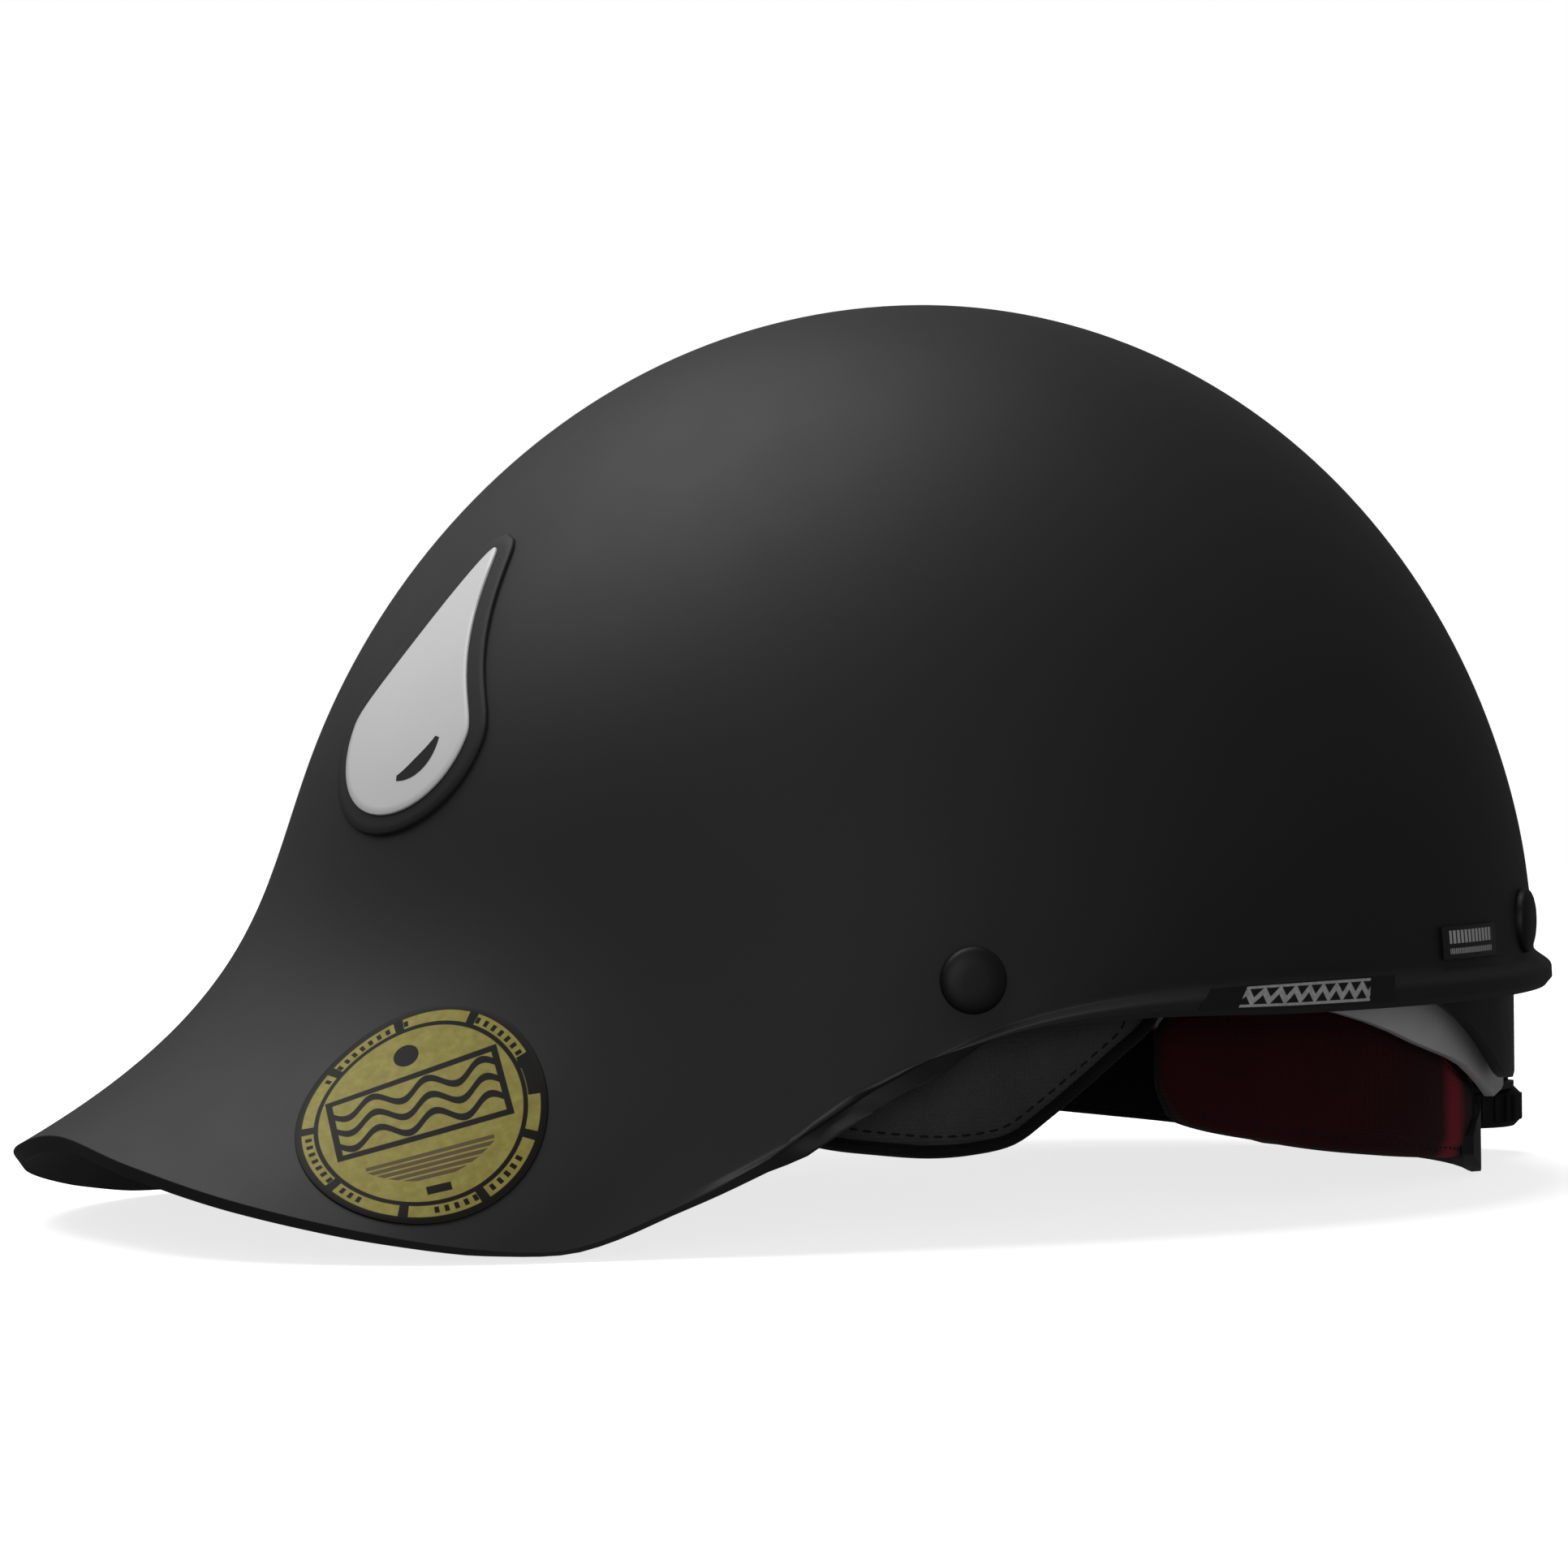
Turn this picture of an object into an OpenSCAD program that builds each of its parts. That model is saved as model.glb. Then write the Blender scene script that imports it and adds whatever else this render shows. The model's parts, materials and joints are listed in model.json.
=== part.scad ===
// Open-face water sports helmet with a moulded visor: a hard shell, a foam liner with comfort pads,
// ear pads, a stowed chin strap, and a neck cradle that a thumbwheel draws forward.
// +X is the wearer's left, -Y the front, +Z up. The origin is on the surface that the helmet rests on.

/* [Shell] */
// Half width of the shell at the widest place
half_w = 104; // [100:1:106]
// Length of the dome from its top to the forehead
front_len = 127; // [124:1:130]
// Length of the dome from its top to the back
rear_len = 119; // [117:1:121]
// Height of the dome above its widest place
dome_h = 127.6; // [124:0.2:130]
// Thickness of the shell
shell_t = 3; // [2.5:0.5:3.5]
// How far the rim turns out round the ears and the back
lip_out = 3.2; // [2:0.2:4]
// Height of the turned-out rim
lip_h = 7; // [5:1:8]

/* [Lining] */
// Thickness of the foam liner
liner_t = 14; // [10:1:15]
// Thickness of the comfort pads
pad_t = 5.6; // [4:0.2:6]

/* [Ear pads] */
// Thickness of an ear pad
ear_t = 8; // [6:0.5:9]

/* [Cradle] */
// Height of the thumbwheel
wheel_h = 7.6; // [6:0.2:8]
// Radius of the thumbwheel
wheel_r = 10.4; // [9.4:0.2:10.4]
// Thickness of the grey arms
arm_t = 1.8; // [1.4:0.1:2]

/* [Chin strap] */
// Width of the webbing
web_w = 20; // [16:1:22]
// Thickness of the webbing
web_t = 1.6; // [1.2:0.1:1.8]

/* [Hidden] */
$fn = 64;

// Height of the dome's widest place above the floor, and its place along the length
lift = 39;
shift_y = 22.6;
// Height at which the dome gives way to the skirt, and how much the forehead is flattened
brow_z = 45;
flat = 0.012;
// How far the skirt runs on along the dome before it bends to its handle
follow = 0.6;
// Slope of the rear rim
rim_slope = 0.0162;

// The skirt, by direction from the front in degrees: [direction, edge x, y, z, bend x, y, z].
skirt_rows = concat([
  [0, 0, -177, -19.5, 0, -127, 1.5],
  [14, 25, -174.5, -23, 27, -123.5, 1],
  [27, 47, -165, -28, 50, -113.5, -0.5],
  [39, 65, -148.5, -33, 68, -99, -3.5],
  [47, 76, -131, -36.3, 79, -87, -7],
  [53, 81.5, -116, -36.8, 86, -76, -7],
  [60, 87, -99, -30.5, 93, -63, -4],
  [68, 92.5, -82, -22, 98.5, -48, 0],
  [75, 97, -65, -11.5, 101.5, -33, 4],
  [83, 101.5, -43.5, -2.5, 103.5, -16, 10],
  [92, 103.8, -18, 0, 104, -1, 15],
  [103, 102.3, 18, -0.7, 101.5, 22, 15]],
  [for (u = [116, 130, 145, 160, 180])
    let (x = half_w * sin(u), y = -rear_len * cos(u))
    [u, x, y, -0.3 - rim_slope * y, 0.995 * x, 0.995 * y, 15]]);

// ---- the shell's surface ----
function unit(v) = v / max(norm(v), 1e-9);
function flip(p) = [-p[0], p[1], p[2]];
function smooth(t) = let (s = min(max(t, 0), 1)) s * s * (3 - 2 * s);

// A point of the dome in direction u, at elevation w, d inside the outer surface
function dome(u, w, d = 0) =
  let (k = pow(sin(2 * w), 2) * max(cos(u), 0), q = cos(w) * (1 - flat * k),
       a = cos(u) > 0 ? front_len : rear_len)
  [(half_w - d) * q * sin(u), -(a - d) * q * cos(u), (dome_h - d) * sin(w) * (1 - 0.4 * flat * k)];
// The same by height in place of elevation
function dome_at(u, z, d) = dome(u, asin(z / (dome_h - d)), d);

// Smooth curve through the rows of a table, whose first number in each row is the position
function slope(rows, i) =
  let (lo = max(i - 1, 0), hi = min(i + 1, len(rows) - 1))
  (rows[hi] - rows[lo]) / (rows[hi][0] - rows[lo][0]);
function row_index(rows, u, i = 0) = (i >= len(rows) - 2 || u <= rows[i + 1][0]) ? i : row_index(rows, u, i + 1);
function along(rows, u) =
  let (i = row_index(rows, u), h = rows[i + 1][0] - rows[i][0], t = (u - rows[i][0]) / h)
  (2 * t^3 - 3 * t^2 + 1) * rows[i] + (t^3 - 2 * t^2 + t) * h * slope(rows, i)
  + (-2 * t^3 + 3 * t^2) * rows[i + 1] + (t^3 - t^2) * h * slope(rows, i + 1);

// The skirt runs down the middle plane at the front and the back, so its slopes across are nil there
mirror_rows = concat([let (r = skirt_rows[1]) [-r[0], -r[1], r[2], r[3], -r[4], r[5], r[6]]], skirt_rows,
  [let (r = skirt_rows[len(skirt_rows) - 2]) [360 - r[0], -r[1], r[2], r[3], -r[4], r[5], r[6]]]);

brow_w = asin(brow_z / dome_h);
// A point of the skin in direction u from 0 to 180: v runs from 0 at the top to 1 at the brow and 2 at the edge
function half_skin(u, v) =
  v <= 1 ? dome(u, 90 - (90 - brow_w) * v) :
  let (s = along(mirror_rows, u), edge = [s[1], s[2], s[3]], bend = [s[4], s[5], s[6]],
       p0 = dome(u, brow_w), run = unit(dome(u, brow_w - 0.5) - dome(u, brow_w + 0.5)),
       p1 = p0 + run * norm(bend - p0) * follow, t = v - 1, q = 1 - t)
  q^3 * p0 + 3 * q^2 * t * p1 + 3 * q * t^2 * bend + t^3 * edge;
function skin(u, v) = let (w = (u % 360 + 360) % 360) w <= 180 ? half_skin(w, v) : flip(half_skin(360 - w, v));
function skin_normal(u, v) =
  v < 0.02 ? [0, 0, 1] :
  let (e = 0.01, v0 = min(v, 2 - e))
  unit(cross(skin(u, v0 + e) - skin(u, v0 - e), skin(u + 1, v0) - skin(u - 1, v0)));
function inside(u, v, d) = skin(u, v) - d * skin_normal(u, v);

// The rim turns out from the ears round to the back: d is the way up from the edge
function lip(u, d) =
  let (w = (u % 360 + 360) % 360, m = w <= 180 ? w : 360 - w)
  lip_out * smooth((m - 60) / 14)
  * (d < 0.2 * lip_h ? 0.62 + 1.9 * d / lip_h : d < 0.5 * lip_h ? 1 : smooth((lip_h - d) / (0.5 * lip_h)));
function level(v) = unit([v[0], v[1], 0]);
// The parameter at d mm up from the edge
function up_from_edge(u, d) =
  let (w = (u % 360 + 360) % 360, m = w <= 180 ? w : 360 - w, s = along(mirror_rows, m))
  2 - d / (3 * norm([s[1] - s[4], s[2] - s[5], s[3] - s[6]]));

// ---- solids from rings of points ----
// A closed form: a pole, rings that each go once round, and a second pole
module loft(rings, p0, p1) {
  n = len(rings[0]);
  m = len(rings);
  polyhedron(concat([p0], [for (r = rings) each r], [p1]), concat(
    [for (i = [0:n - 1]) [0, 1 + i, 1 + (i + 1) % n]],
    [for (j = [0:m - 2], i = [0:n - 1])
      let (a = 1 + j * n + i, b = 1 + j * n + (i + 1) % n) each [[a, a + n, b], [b, a + n, b + n]]],
    [for (i = [0:n - 1]) [1 + (m - 1) * n + i, m * n + 1, 1 + (m - 1) * n + (i + 1) % n]]), convexity = 8);
}

// A bar with two end caps: each ring goes along one face and back along the other
module bar(rings) {
  n = len(rings[0]);
  m = len(rings);
  k = n / 2;
  last = (m - 1) * n;
  polyhedron([for (r = rings) each r], concat(
    [for (i = [0:k - 2]) each [[i, n - 1 - i, i + 1], [i + 1, n - 1 - i, n - 2 - i]]],
    [for (j = [0:m - 2], i = [0:n - 1])
      let (a = j * n + i, b = j * n + (i + 1) % n) each [[a, b, a + n], [b, b + n, a + n]]],
    [for (i = [0:k - 2]) each [[last + i, last + i + 1, last + n - 1 - i],
      [last + i + 1, last + n - 2 - i, last + n - 1 - i]]]), convexity = 8);
}

// Everything is drawn about the dome's middle and then stood on the floor
module place() { translate([0, shift_y, lift]) children(); }
module left_and_right() { children(); mirror([1, 0, 0]) children(); }

// ---- shell ----
shell_n = 72;
dome_steps = 9;
skirt_steps = 8;
lip_levels = [1, 0.72, 0.5, 0.2, 0];

// Positions down one direction: dome, skirt, then the levels of the lip
function shell_levels(u) =
  let (top = up_from_edge(u, lip_h))
  concat([for (j = [1:dome_steps]) j / dome_steps], [for (j = [1:skirt_steps]) 1 + (top - 1) * j / (skirt_steps + 0.4)],
    [for (s = lip_levels) up_from_edge(u, s * lip_h)]);
function lip_at(u, j) =
  let (k = j - dome_steps - skirt_steps) k < 0 ? 0 : lip(u, lip_levels[k] * lip_h);

module outer_shell() color([0.11, 0.11, 0.12]) place() {
  dirs = [for (i = [0:shell_n - 1]) 360 * i / shell_n];
  levels = [for (u = dirs) shell_levels(u)];
  m = len(levels[0]);
  outer = [for (j = [0:m - 1]) [for (i = [0:shell_n - 1]) let (u = dirs[i], v = levels[i][j])
    skin(u, v) + lip_at(u, j) * level(skin_normal(u, v))]];
  inner = [for (j = [m - 1:-1:0]) [for (i = [0:shell_n - 1]) inside(dirs[i], levels[i][j], shell_t)]];
  difference() {
    loft(concat(outer, inner), [0, 0, dome_h], [0, 0, dome_h - shell_t]);
    left_and_right() for (at = [side_rivet, rear_rivet]) on_skin(at) {
      translate([0, 0, -12]) cylinder(r = shank_r + 0.1, h = 13);
      translate([0, 0, -seat_d]) cylinder(r = rivet_r + 0.1, h = 6);
    }
  }
}

// ---- liner and comfort pads ----
liner_gap = 3.0;
liner_out = shell_t + liner_gap;
liner_in = liner_out + liner_t;
pad_out = liner_in + 0.35;
pad_in = pad_out + pad_t;
function liner_edge(u) =
  let (w = (u % 360 + 360) % 360, m = w <= 180 ? w : 360 - w) 8 + 10 * smooth((m - 105) / 20);

module impact_liner() color([0.16, 0.16, 0.17]) place() {
  n = 60;
  m = 13;
  wall = function (d) [for (j = [1:m]) [for (i = [0:n - 1])
    let (u = 360 * i / n, low = asin(liner_edge(u) / (dome_h - d))) dome(u, 90 - (90 - low) * j / m, d)]];
  back = wall(liner_in);
  difference() {
    loft(concat(wall(liner_out), [for (j = [m - 1:-1:0]) back[j]]), [0, 0, dome_h - liner_out], [0, 0, dome_h - liner_in]);
    left_and_right() on_skin(side_rivet) translate([0, 0, -15]) cylinder(r = 6.2, h = 11);
  }
}

// A pad on the liner's inner face, from direction u0 to u1 and from height z0 to z1, thinner at its border
module lining_pad(u0, u1, z0, z1) color([0.09, 0.09, 0.10]) place() {
  n = 14;
  m = 6;
  bar([for (i = [0:n]) let (u = u0 + (u1 - u0) * i / n, s = min(i, n - i) / n)
    let (thin = function (k) pad_t * (1 - smooth(1 - 6 * min(s, min(k, m - k) / m))))
    concat([for (k = [0:m]) dome_at(u, z0 + (z1 - z0) * k / m, pad_out)],
      [for (k = [m:-1:0]) dome_at(u, z0 + (z1 - z0) * k / m, pad_out + 0.8 + 0.86 * thin(k))])]);
}
module brow_pad() lining_pad(-52, 52, 9, 34);
module side_pad_left() lining_pad(78, 108, 16, 46);
module side_pad_right() mirror([1, 0, 0]) side_pad_left();
module rear_pad() lining_pad(146, 214, 20, 46);

module crown_pad() color([0.09, 0.09, 0.10]) place() {
  n = 36;
  ring = function (w, d) [for (i = [0:n - 1]) dome(360 * i / n, w, d)];
  loft([ring(80, pad_out), ring(68, pad_out), ring(67, pad_out + 0.4 * pad_t), ring(69, pad_in), ring(80, pad_in)],
    [0, 0, dome_h - pad_out], [0, 0, dome_h - pad_in]);
}

// ---- ear pads ----
ear_arc_r = 200;
ear_x = 95.5;
ear_y = -5;
ear_outline = [[-72, 7.8], [-62, 7.8], [-59, 0.5], [-30, 0.5], [-27, 7.8], [-12, 7.8], [-5, -1], [-27, -17.5],
  [-33, -21.4], [-40, -22.6], [-48, -22.8], [-66, -20.4], [-72, -18]];

module ear_pad_left() color([0.13, 0.13, 0.14]) place() intersection() {
  translate([ear_x - ear_arc_r, ear_y, -30]) difference() {
    cylinder(r = ear_arc_r, h = 60, $fn = 360);
    translate([0, 0, -1]) cylinder(r = ear_arc_r - ear_t, h = 62, $fn = 360);
  }
  translate([60, 0, 0]) rotate([90, 0, 90]) linear_extrude(60) polygon(ear_outline);
}
module ear_pad_right() mirror([1, 0, 0]) ear_pad_left();

// ---- rivets ----
rivet_r = 6;
shank_r = 2.4;
seat_d = 0.3;
side_grip = 8.4;
rear_grip = 8.2;
side_rivet = [72.3, 1.575];
rear_rivet = [140.5, 1.73];

// Turns +Z to the shell's outward direction at a place on the skin
module on_skin(at) {
  n = level(skin_normal(at[0], at[1]));
  translate(skin(at[0], at[1])) rotate([0, 90, atan2(n[1], n[0])]) children();
}
module rivet(grip) {
  rotate_extrude() polygon(concat([[0, -grip], [shank_r, -grip], [shank_r, -seat_d], [rivet_r, -seat_d]],
    [for (a = [0:15:90]) [rivet_r * (0.35 + 0.65 * cos(a)), 0.7 + 1.5 * sin(a)]], [[0, 2.2]]));
}
module washer(depth) translate([0, 0, -depth]) difference() {
  cylinder(r = 4.4, h = 1);
  translate([0, 0, -1]) cylinder(r = shank_r + 0.02, h = 3);
}
module side_rivets() color([0.14, 0.14, 0.15]) place() left_and_right() on_skin(side_rivet) rivet(side_grip);
module side_washers() color([0.6, 0.6, 0.62]) place() left_and_right() on_skin(side_rivet) washer(side_grip - 0.2);
module rear_rivets() color([0.14, 0.14, 0.15]) place() left_and_right() on_skin(rear_rivet) rivet(rear_grip);
module rear_washers() color([0.6, 0.6, 0.62]) place() left_and_right() on_skin(rear_rivet) washer(rear_grip - 0.2);

// ---- emblem, sticker and labels: thin patches on the skin ----
film_t = 0.4;
film_gap = 0.4;
// A patch about a place on the skin, with its outline given as a radius in mm by angle, turned by a tilt
module skin_patch(at, outline, tilt = 0, n = 48) {
  o = skin(at[0], at[1]);
  du = (skin(at[0] + 0.5, at[1]) - skin(at[0] - 0.5, at[1]));
  dv = (skin(at[0], at[1] + 0.01) - skin(at[0], at[1] - 0.01)) / 0.02;
  down = unit(dv);
  side = unit(du - (du * down) * down);
  spot = function (a, f, d)
    let (p = f * outline(a) * cos(a + tilt), q = -f * outline(a) * sin(a + tilt), su = p / (du * side),
         sv = (q - su * (du * down)) / norm(dv)) inside(at[0] + su, at[1] + sv, d);
  ring = function (f, d) [for (i = [0:n - 1]) spot(-360 * i / n, f, -film_gap - d)];
  steps = [0.25, 0.5, 0.75, 1];
  loft(concat([for (f = steps) ring(f, film_t)], [for (i = [3:-1:0]) ring(steps[i], 0)]),
    spot(0, 0, -film_gap - film_t), spot(0, 0, -film_gap));
}
// A water drop: round below, drawn out to a point above
function drop(a) = 17 + 20 * pow((1 + sin(a)) / 2, 32);
function disc(a) = 22.7;

module front_emblem() color([0.93, 0.93, 0.93]) place() skin_patch([9, 0.95], function (a) drop(a));
module round_sticker() color([0.66, 0.6, 0.28]) place() skin_patch([32.9, 1.796], function (a) disc(a));

// A straight label between two directions and two heights above the edge
module skin_label(u0, u1, d0, d1, out) {
  n = 8;
  bar([for (i = [0:n]) let (u = u0 + (u1 - u0) * i / n,
    at = function (d) let (v = up_from_edge(u, d)) skin(u, v), n0 = level(skin_normal(u, 1.9)))
    [at(d0) + (out + film_t) * n0, at(d1) + (out + film_t) * n0, at(d1) + out * n0, at(d0) + out * n0]]);
}
module rim_label() color([0.12, 0.12, 0.12]) place() skin_label(96, 110.8, 1.4, 6.2, lip_out + 0.05);
module rear_label() color([0.8, 0.8, 0.8]) place() skin_label(118.5, 129.5, 8, 14.5, 0.35);

// ---- arms of the cradle ----
anchor = [90, 0];
arm_b = 89;
arm_a = 112.3;
bore_r = 1.8;
pin_r = 1.75;
eye_z0 = 1.0;
eye_z1 = 4.8;
rack_z0 = -24;
rack_z1 = -17.5;
wheel_y = 121.5;
shaft_r = 1.6;
stub_r = 1.2;
running_gap = 0.05;
pinion_teeth = 8;
pinion_r = 2.4;
pitch = 360 / pinion_teeth * PI / 180 * pinion_r;
tooth_up = 0.55;
tooth_down = 0.75;
rack_t = 1.25;

// Lower and upper edge of an arm by direction: [direction, lower z, upper z]
arm_heights = [[90, 1, 4.8], [96, 0.8, 5], [106, -1, 6.5], [116, -5.5, 6.4], [124, -10.3, 2.5], [134, -15, -3],
  [140, -18.7, -6.5], [146, -22, -10.2], [152, -23.9, -15.5], [158, -24, -17.5], [168, -24, -17.5], [200, -24, -17.5]];
function arm_z(u) = let (r = along(arm_heights, u)) [r[1], r[2]];

// Plan of an arm's middle line: round the ellipse, then out to its rack's line at the given y
function arm_plan(rack_y, leave) = concat(
  [for (u = [95:4:leave]) [u, arm_b * sin(u), -arm_a * cos(u)]],
  [[leave + 9, 27, (rack_y + 4 - arm_a * cos(leave)) / 2 + 0.5], [leave + 15, 19, rack_y - 1.6],
   [leave + 20, 12, rack_y], [leave + 25, 3, rack_y], [leave + 30, -4.5, rack_y]]);

module arm(rack_y, leave, side) {
  plan = arm_plan(rack_y, leave);
  dirs = [for (r = plan) r[0]];
  heights = [for (r = plan) r[1] < 30 ? [rack_z0, rack_z1] : arm_z(min(r[0], 158))];
  last = len(plan) - 1;
  bar([for (i = [0:last]) let (a = plan[max(i - 1, 0)], b = plan[min(i + 1, last)],
    t = unit([b[1] - a[1], b[2] - a[2], 0]), n = [t[1], -t[0], 0] * (i >= last - 2 ? rack_t : arm_t) / 2,
    p = [plan[i][1], plan[i][2], 0], z0 = [0, 0, heights[i][0]], z1 = [0, 0, heights[i][1]])
    [p + n + z0, p + n + z1, p - n + z1, p - n + z0]]);
  rack_teeth(rack_y - side * rack_t / 2, side);
  difference() {
    union() {
      translate([anchor[0], anchor[1], eye_z0]) cylinder(r = 4, h = eye_z1 - eye_z0);
      translate([arm_b - 1.4, 2, eye_z0]) cube([arm_t, 9, eye_z1 - eye_z0]);
    }
    translate([anchor[0], anchor[1], eye_z0 - 1]) cylinder(r = bore_r, h = eye_z1 - eye_z0 + 2);
  }
}
// Teeth along X on the side that faces the pinion: side is 1 where the pinion lies behind the rack
module rack_teeth(y, side) {
  half = 0.135 * pitch;
  translate([0, 0, rack_z0]) linear_extrude(rack_z1 - rack_z0) for (i = [-2:4]) translate([i * pitch + pitch / 2, y])
    polygon([[-2 * half, -0.2 * side], [-half, side * (tooth_up + tooth_down)], [half, side * (tooth_up + tooth_down)],
      [2 * half, -0.2 * side]]);
}
rack_gap = pinion_r + tooth_down;
module arm_left() color([0.46, 0.46, 0.46]) place() arm_front();
module arm_front() arm(wheel_y - rack_gap - rack_t / 2, 151, -1);
module arm_right() color([0.46, 0.46, 0.46]) place() mirror([1, 0, 0]) arm(wheel_y + rack_gap + rack_t / 2, 147, 1);

// ---- anchors of the arms on the shell ----
module arm_bracket_left() color([0.12, 0.12, 0.13]) place() difference() {
  union() {
    translate([95.6, -6, -0.5]) cube([4.7, 12, 7.7]);
    for (z = [-0.5, 5.2]) translate([0, 0, z]) hull() {
      translate([anchor[0], anchor[1], 0]) cylinder(r = 4.4, h = z < 0 ? 1.1 : 2);
      translate([95, -6, 0]) cube([2, 12, z < 0 ? 1.1 : 2]);
    }
  }
  translate([anchor[0], anchor[1], -2]) cylinder(r = pin_r + 0.05, h = 12);
}
module arm_bracket_right() mirror([1, 0, 0]) arm_bracket_left();
module arm_pins() color([0.6, 0.6, 0.62]) place() left_and_right() translate([anchor[0], anchor[1], -0.45]) {
  cylinder(r = pin_r, h = 7.7);
  translate([0, 0, 7.65]) cylinder(r = 2.8, h = 0.6);
}

// ---- hanger at the back ----
hanger_out = shell_t + 1;
hanger_t = 2.2;
// Lower edge of the hanger by direction
hanger_rows = [[116, 1], [121, -1], [125.5, -4], [130, -8], [135, -13], [140, -17.5], [146, -19], [152, -17], [158, -12.5],
  [163, -9.4], [170, -9], [180, -9], [190, -9]];
hanger_mid = -9;
rail_w = 10;
rail_y0 = 106;
rail_y1 = 124;

function hanger_low(u) = along(hanger_rows, u <= 180 ? u : 360 - u)[1];
module rear_hanger() color([0.08, 0.08, 0.09]) place() {
  difference() {
    bar([for (i = [0:40]) let (u = 118 + 124 * i / 40, lo = hanger_low(u),
      wall = function (z, d) z > 0 ? dome_at(u, z, d) : [(half_w - d) * sin(u), -(rear_len - d) * cos(u), z])
      concat([for (k = [0:2]) wall(lo + (17 - lo) * k / 2, hanger_out)],
        [for (k = [2:-1:0]) wall(lo + (17 - lo) * k / 2, hanger_out + hanger_t)])]);
    left_and_right() on_skin(rear_rivet) translate([0, 0, -10]) cylinder(r = shank_r + 0.05, h = 12);
  }
  translate([-2, rear_len - hanger_out - hanger_t, hanger_mid - 2]) cube([4, hanger_t, 2.6]);
  translate([-2, rail_y0, hanger_mid - 2]) cube([4, rail_y1 - rail_y0, 1.6]);
  translate([-rail_w / 2, rail_y0, hanger_mid - 3.8]) cube([rail_w, rail_y1 - rail_y0, 1.9]);
}

// ---- the sliding cradle ----
pad_b = 85.5;
pad_a = 108.5;
neck_t = 8;
plate_t = 2;
// Lower and upper edge of the neck pad by direction
neck_rows = [[91, -14, -4], [92, -18, -2], [94.5, -21.7, -1.2], [105, -26, -1.2], [114, -28.8, -3], [126, -31.4, -8],
  [134, -32.8, -12], [142, -34, -17], [150, -35.2, -19], [160, -36.6, -19], [172, -37.8, -19], [180, -38, -19], [188, -37.8, -19]];
function neck_z(u) = let (r = along(neck_rows, u <= 180 ? u : 360 - u)) [r[1], r[2]];
// A point on an upright ellipse, inset by d
function round_at(u, z, b, a, d = 0) = [(b - d) * sin(u), -(a - d) * cos(u), z];

module neck_pad() color([0.16, 0.03, 0.05]) place() {
  n = 44;
  dirs = concat([91.5], [for (i = [0:n]) 94.5 + 171 * i / n], [268.5]);
  bar([for (u = dirs) let (z = neck_z(u), mid = (z[0] + z[1]) / 2, h = (z[1] - z[0]) / 2,
    at = function (s, d) round_at(u, mid + s * h, pad_b, pad_a, d))
    [at(-0.8, 0.4), at(0, 0), at(0.8, 0.4), at(1, 2.5), at(1, neck_t - 2), at(0.8, neck_t), at(0, neck_t), at(-0.8, neck_t),
     at(-1, neck_t - 2), at(-1, 2.5)]]);
}
plate_in = 0.06;
plate_w = 52;
floor_z = -39;
// Half of the plate seen from behind: how high and how low it reaches at each distance from the middle
plate_upper = [[0, -19], [20, -19], [30, -25], [42, -26.5], [48, -27.4], [plate_w, -30]];
plate_lower = [[plate_w, -33.5], [46, -36.4], [38, -38.4], [30, floor_z], [0, floor_z]];
plate_half = concat(plate_upper, plate_lower);
plate_outline = concat(plate_half, [for (i = [len(plate_half) - 2:-1:1]) [-plate_half[i][0], plate_half[i][1]]]);
// A band between two upright ellipses round the back, d0 and d1 outside the neck pad
module back_band(d0, d1, from, to) {
  polygon(concat([for (u = [from:4:to]) [(pad_b + d1) * sin(u), -(pad_a + d1) * cos(u)]],
    [for (u = [to:-4:from]) [(pad_b + d0) * sin(u), -(pad_a + d0) * cos(u)]]));
}
module cradle_plate() color([0.05, 0.05, 0.06]) place() intersection() {
  translate([0, 0, floor_z]) linear_extrude(24) back_band(plate_in, plate_in + plate_t, 140, 220);
  translate([0, 130, 0]) rotate([90, 0, 0]) linear_extrude(80) polygon(plate_outline);
}

base_z = -25.5;
base_t = 1.1;
cover_z = -17.2;
cover_t = 1.3;
posts = [[9.5, 112], [-9.5, 112]];
screw_r = 1;

// Plan of the adjuster: outer outline by hand, inner edge along the cradle plate
adjuster_plan = concat([[17, 112], [17, 117], [14, 120], [11, 124.5], [7, 127.4], [-12, 128.6], [-17, 127],
  [-17.5, 120], [-17.5, 112]],
  [for (x = [-17:3.4:17]) [x, (pad_a + 2.5) * sqrt(1 - pow(x / (pad_b + 2.5), 2))]]);

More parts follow.
